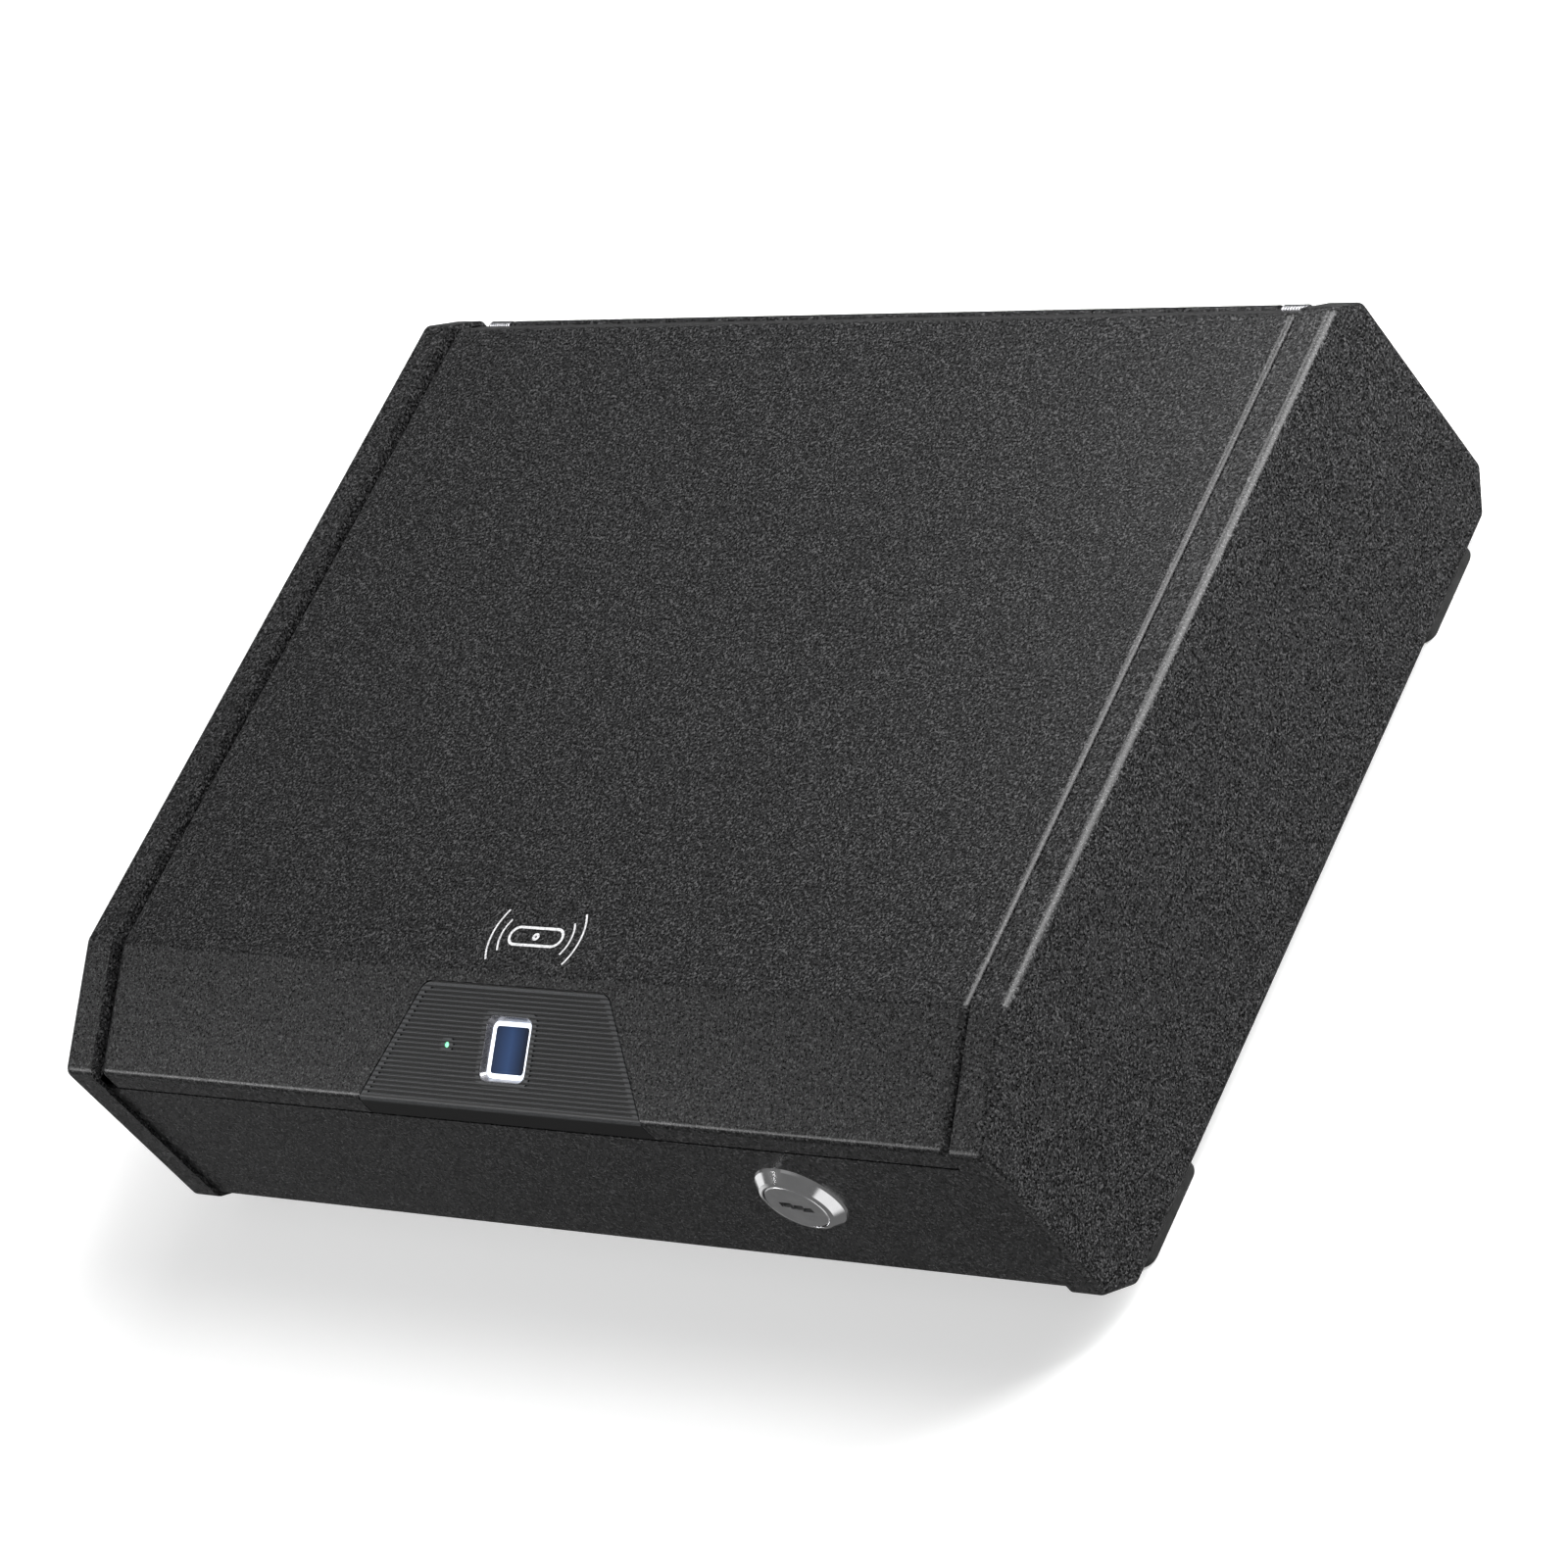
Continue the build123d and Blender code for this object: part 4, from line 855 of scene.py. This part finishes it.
def print_mark():
    """A plain pill outline and dot between two pairs of arcs, printed in front of the roof."""
    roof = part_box("lid_shell")[1].z
    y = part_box("side_cap_left")[0].y + MARK_SETBACK
    strokes = []
    for side, facing in ((-1, 180), (1, 0)):
        for reach, radius in MARK_ARCS:
            middle = side * (reach - radius)
            strokes.append((arc(middle, y, radius, facing, ARC_HALF_SWEEP, ARC_STEPS), ARC_LINE))
    pill = []
    for side, facing in ((1, 0), (-1, 180)):
        pill += arc(side * PILL_HALF, y, PILL_R, facing, 90, PILL_STEPS)
    pill.append(pill[0])
    strokes.append((pill, PILL_LINE))
    strokes.append((arc(0, y, DOT_R, 0, 180, DOT_STEPS), PILL_LINE))
    vertices = []
    faces = []
    for points, width in strokes:
        more, patches = stroke(points, width, roof)
        faces += [tuple(index + len(vertices) for index in patch) for patch in patches]
        vertices += more
    add_piece("press_mark", vertices, faces, finishes["print_white"], "lid", smooth=False)


# ---------------------------------------------------------------- studio
FLOOR_SIZE = 8.0
FLOOR_GLOW = 0.53
FLOOR_PATCH_SIZE = 400.0
SKY = 0.14
FLOOR_IMAGE = 0.9         # the floor as it shows in the lock's bezel
BELOW = (0.0, -0.05)      # ranges of direction, along Z, Y, X and X, over which the patches fade in
FRONT = (-0.4, -0.55)
RIGHT = (-0.1, 0.1)
LEFT = (-0.76, -0.86)
LIGHTS = {                # direction, distance, width and height, power
    "rear_light": ((0.66, 0.43, 0.62), 0.85, (0.36, 1.1), 17.0),
    "roof_light": ((0.02, 0.56, 0.83), 0.6, (0.26, 0.26), 1.9),
    "front_light": ((-0.64, -0.54, 0.5), 1.5, (0.45, 0.45), 8.0),
    "top_light": ((0.0, 0.0, 1.0), 2.4, (2.2, 2.2), 2.0),
}


def studio():
    """Pale floor under a pale sky. Reflections see the sky's lower half in place of the floor."""
    mesh = bpy.data.meshes.new("floor")
    half = FLOOR_SIZE / 2
    corners = [(-half, -half, 0), (half, -half, 0), (half, half, 0), (-half, half, 0)]
    mesh.from_pydata(corners, [], [(0, 1, 2, 3)])
    floor = bpy.data.objects.new("floor", mesh)
    bpy.context.scene.collection.objects.link(floor)
    f = Finish("floor", Specular_IOR_Level=0.1, Roughness=0.95, Emission_Strength=FLOOR_GLOW)
    pale = f.ramp(f.noise(FLOOR_PATCH_SIZE), [(0.3, (0.78, 0.78, 0.78)), (0.7, (0.8, 0.8, 0.8))])
    f.colour(pale)
    f.link(pale, f.shader.inputs["Emission Color"])
    mesh.materials.append(f.material)
    floor.visible_glossy = False
    bpy.context.scene.world = sky()
    bpy.context.scene.view_settings.view_transform = "Standard"


def sky():
    """Even pale sky; below the horizon two brighter patches stand in for the floor in reflections."""
    world = bpy.data.worlds.new("sky")
    world.use_nodes = True
    tree = world.node_tree
    direction = tree.nodes.new("ShaderNodeSeparateXYZ")
    tree.links.new(tree.nodes.new("ShaderNodeTexCoord").outputs["Generated"], direction.inputs[0])
    below = ramp_up(tree, direction.outputs["Z"], *BELOW)
    front = ramp_up(tree, direction.outputs["Y"], *FRONT)
    right = ramp_up(tree, direction.outputs["X"], *RIGHT)
    left = ramp_up(tree, direction.outputs["X"], *LEFT)
    either = maths(tree, "MAXIMUM", maths(tree, "MULTIPLY", front, right), left)
    strength = tree.nodes.new("ShaderNodeMapRange")
    strength.inputs["To Min"].default_value = SKY
    strength.inputs["To Max"].default_value = FLOOR_IMAGE
    tree.links.new(maths(tree, "MULTIPLY", either, below), strength.inputs["Value"])
    background = tree.nodes["Background"]
    background.inputs["Color"].default_value = (1, 1, 1, 1)
    tree.links.new(strength.outputs["Result"], background.inputs["Strength"])
    return world


def ramp_up(tree, source, start, end):
    """Rises from 0 to 1 between two values of the source."""
    node = tree.nodes.new("ShaderNodeMapRange")
    node.inputs["From Min"].default_value = start
    node.inputs["From Max"].default_value = end
    tree.links.new(source, node.inputs["Value"])
    return node.outputs["Result"]


def maths(tree, operation, first, second):
    """Output of a maths node fed by two others."""
    node = tree.nodes.new("ShaderNodeMath")
    node.operation = operation
    tree.links.new(first, node.inputs[0])
    tree.links.new(second, node.inputs[1])
    return node.outputs[0]


def soft_light(name, direction, distance, size, power):
    """Oblong area light, aimed at the middle of the case, its width level."""
    data = bpy.data.lights.new(name, "AREA")
    data.shape = "RECTANGLE"
    data.size, data.size_y = size
    data.energy = power
    light = bpy.data.objects.new(name, data)
    bpy.context.scene.collection.objects.link(light)
    middle = (Vector(CAD_LOW) + Vector(CAD_HIGH)) / 2
    away = Vector(direction).normalized() * distance
    facing = away.to_track_quat("Z", "Y").to_matrix().to_4x4()
    light.matrix_world = Matrix.Translation(middle + away) @ facing


# ---------------------------------------------------------------- scene
make_camera()
finishes = {name: make() for name, make in FINISHES.items()}
dress_nodes(finishes)
for hand, word in ((-1, "left"), (1, "right")):
    hinge_spring(hand, word)
strike_spring()
floor_foam()
lid_foam()
print_mark()
studio()
for name, settings in LIGHTS.items():
    soft_light(name, *settings)
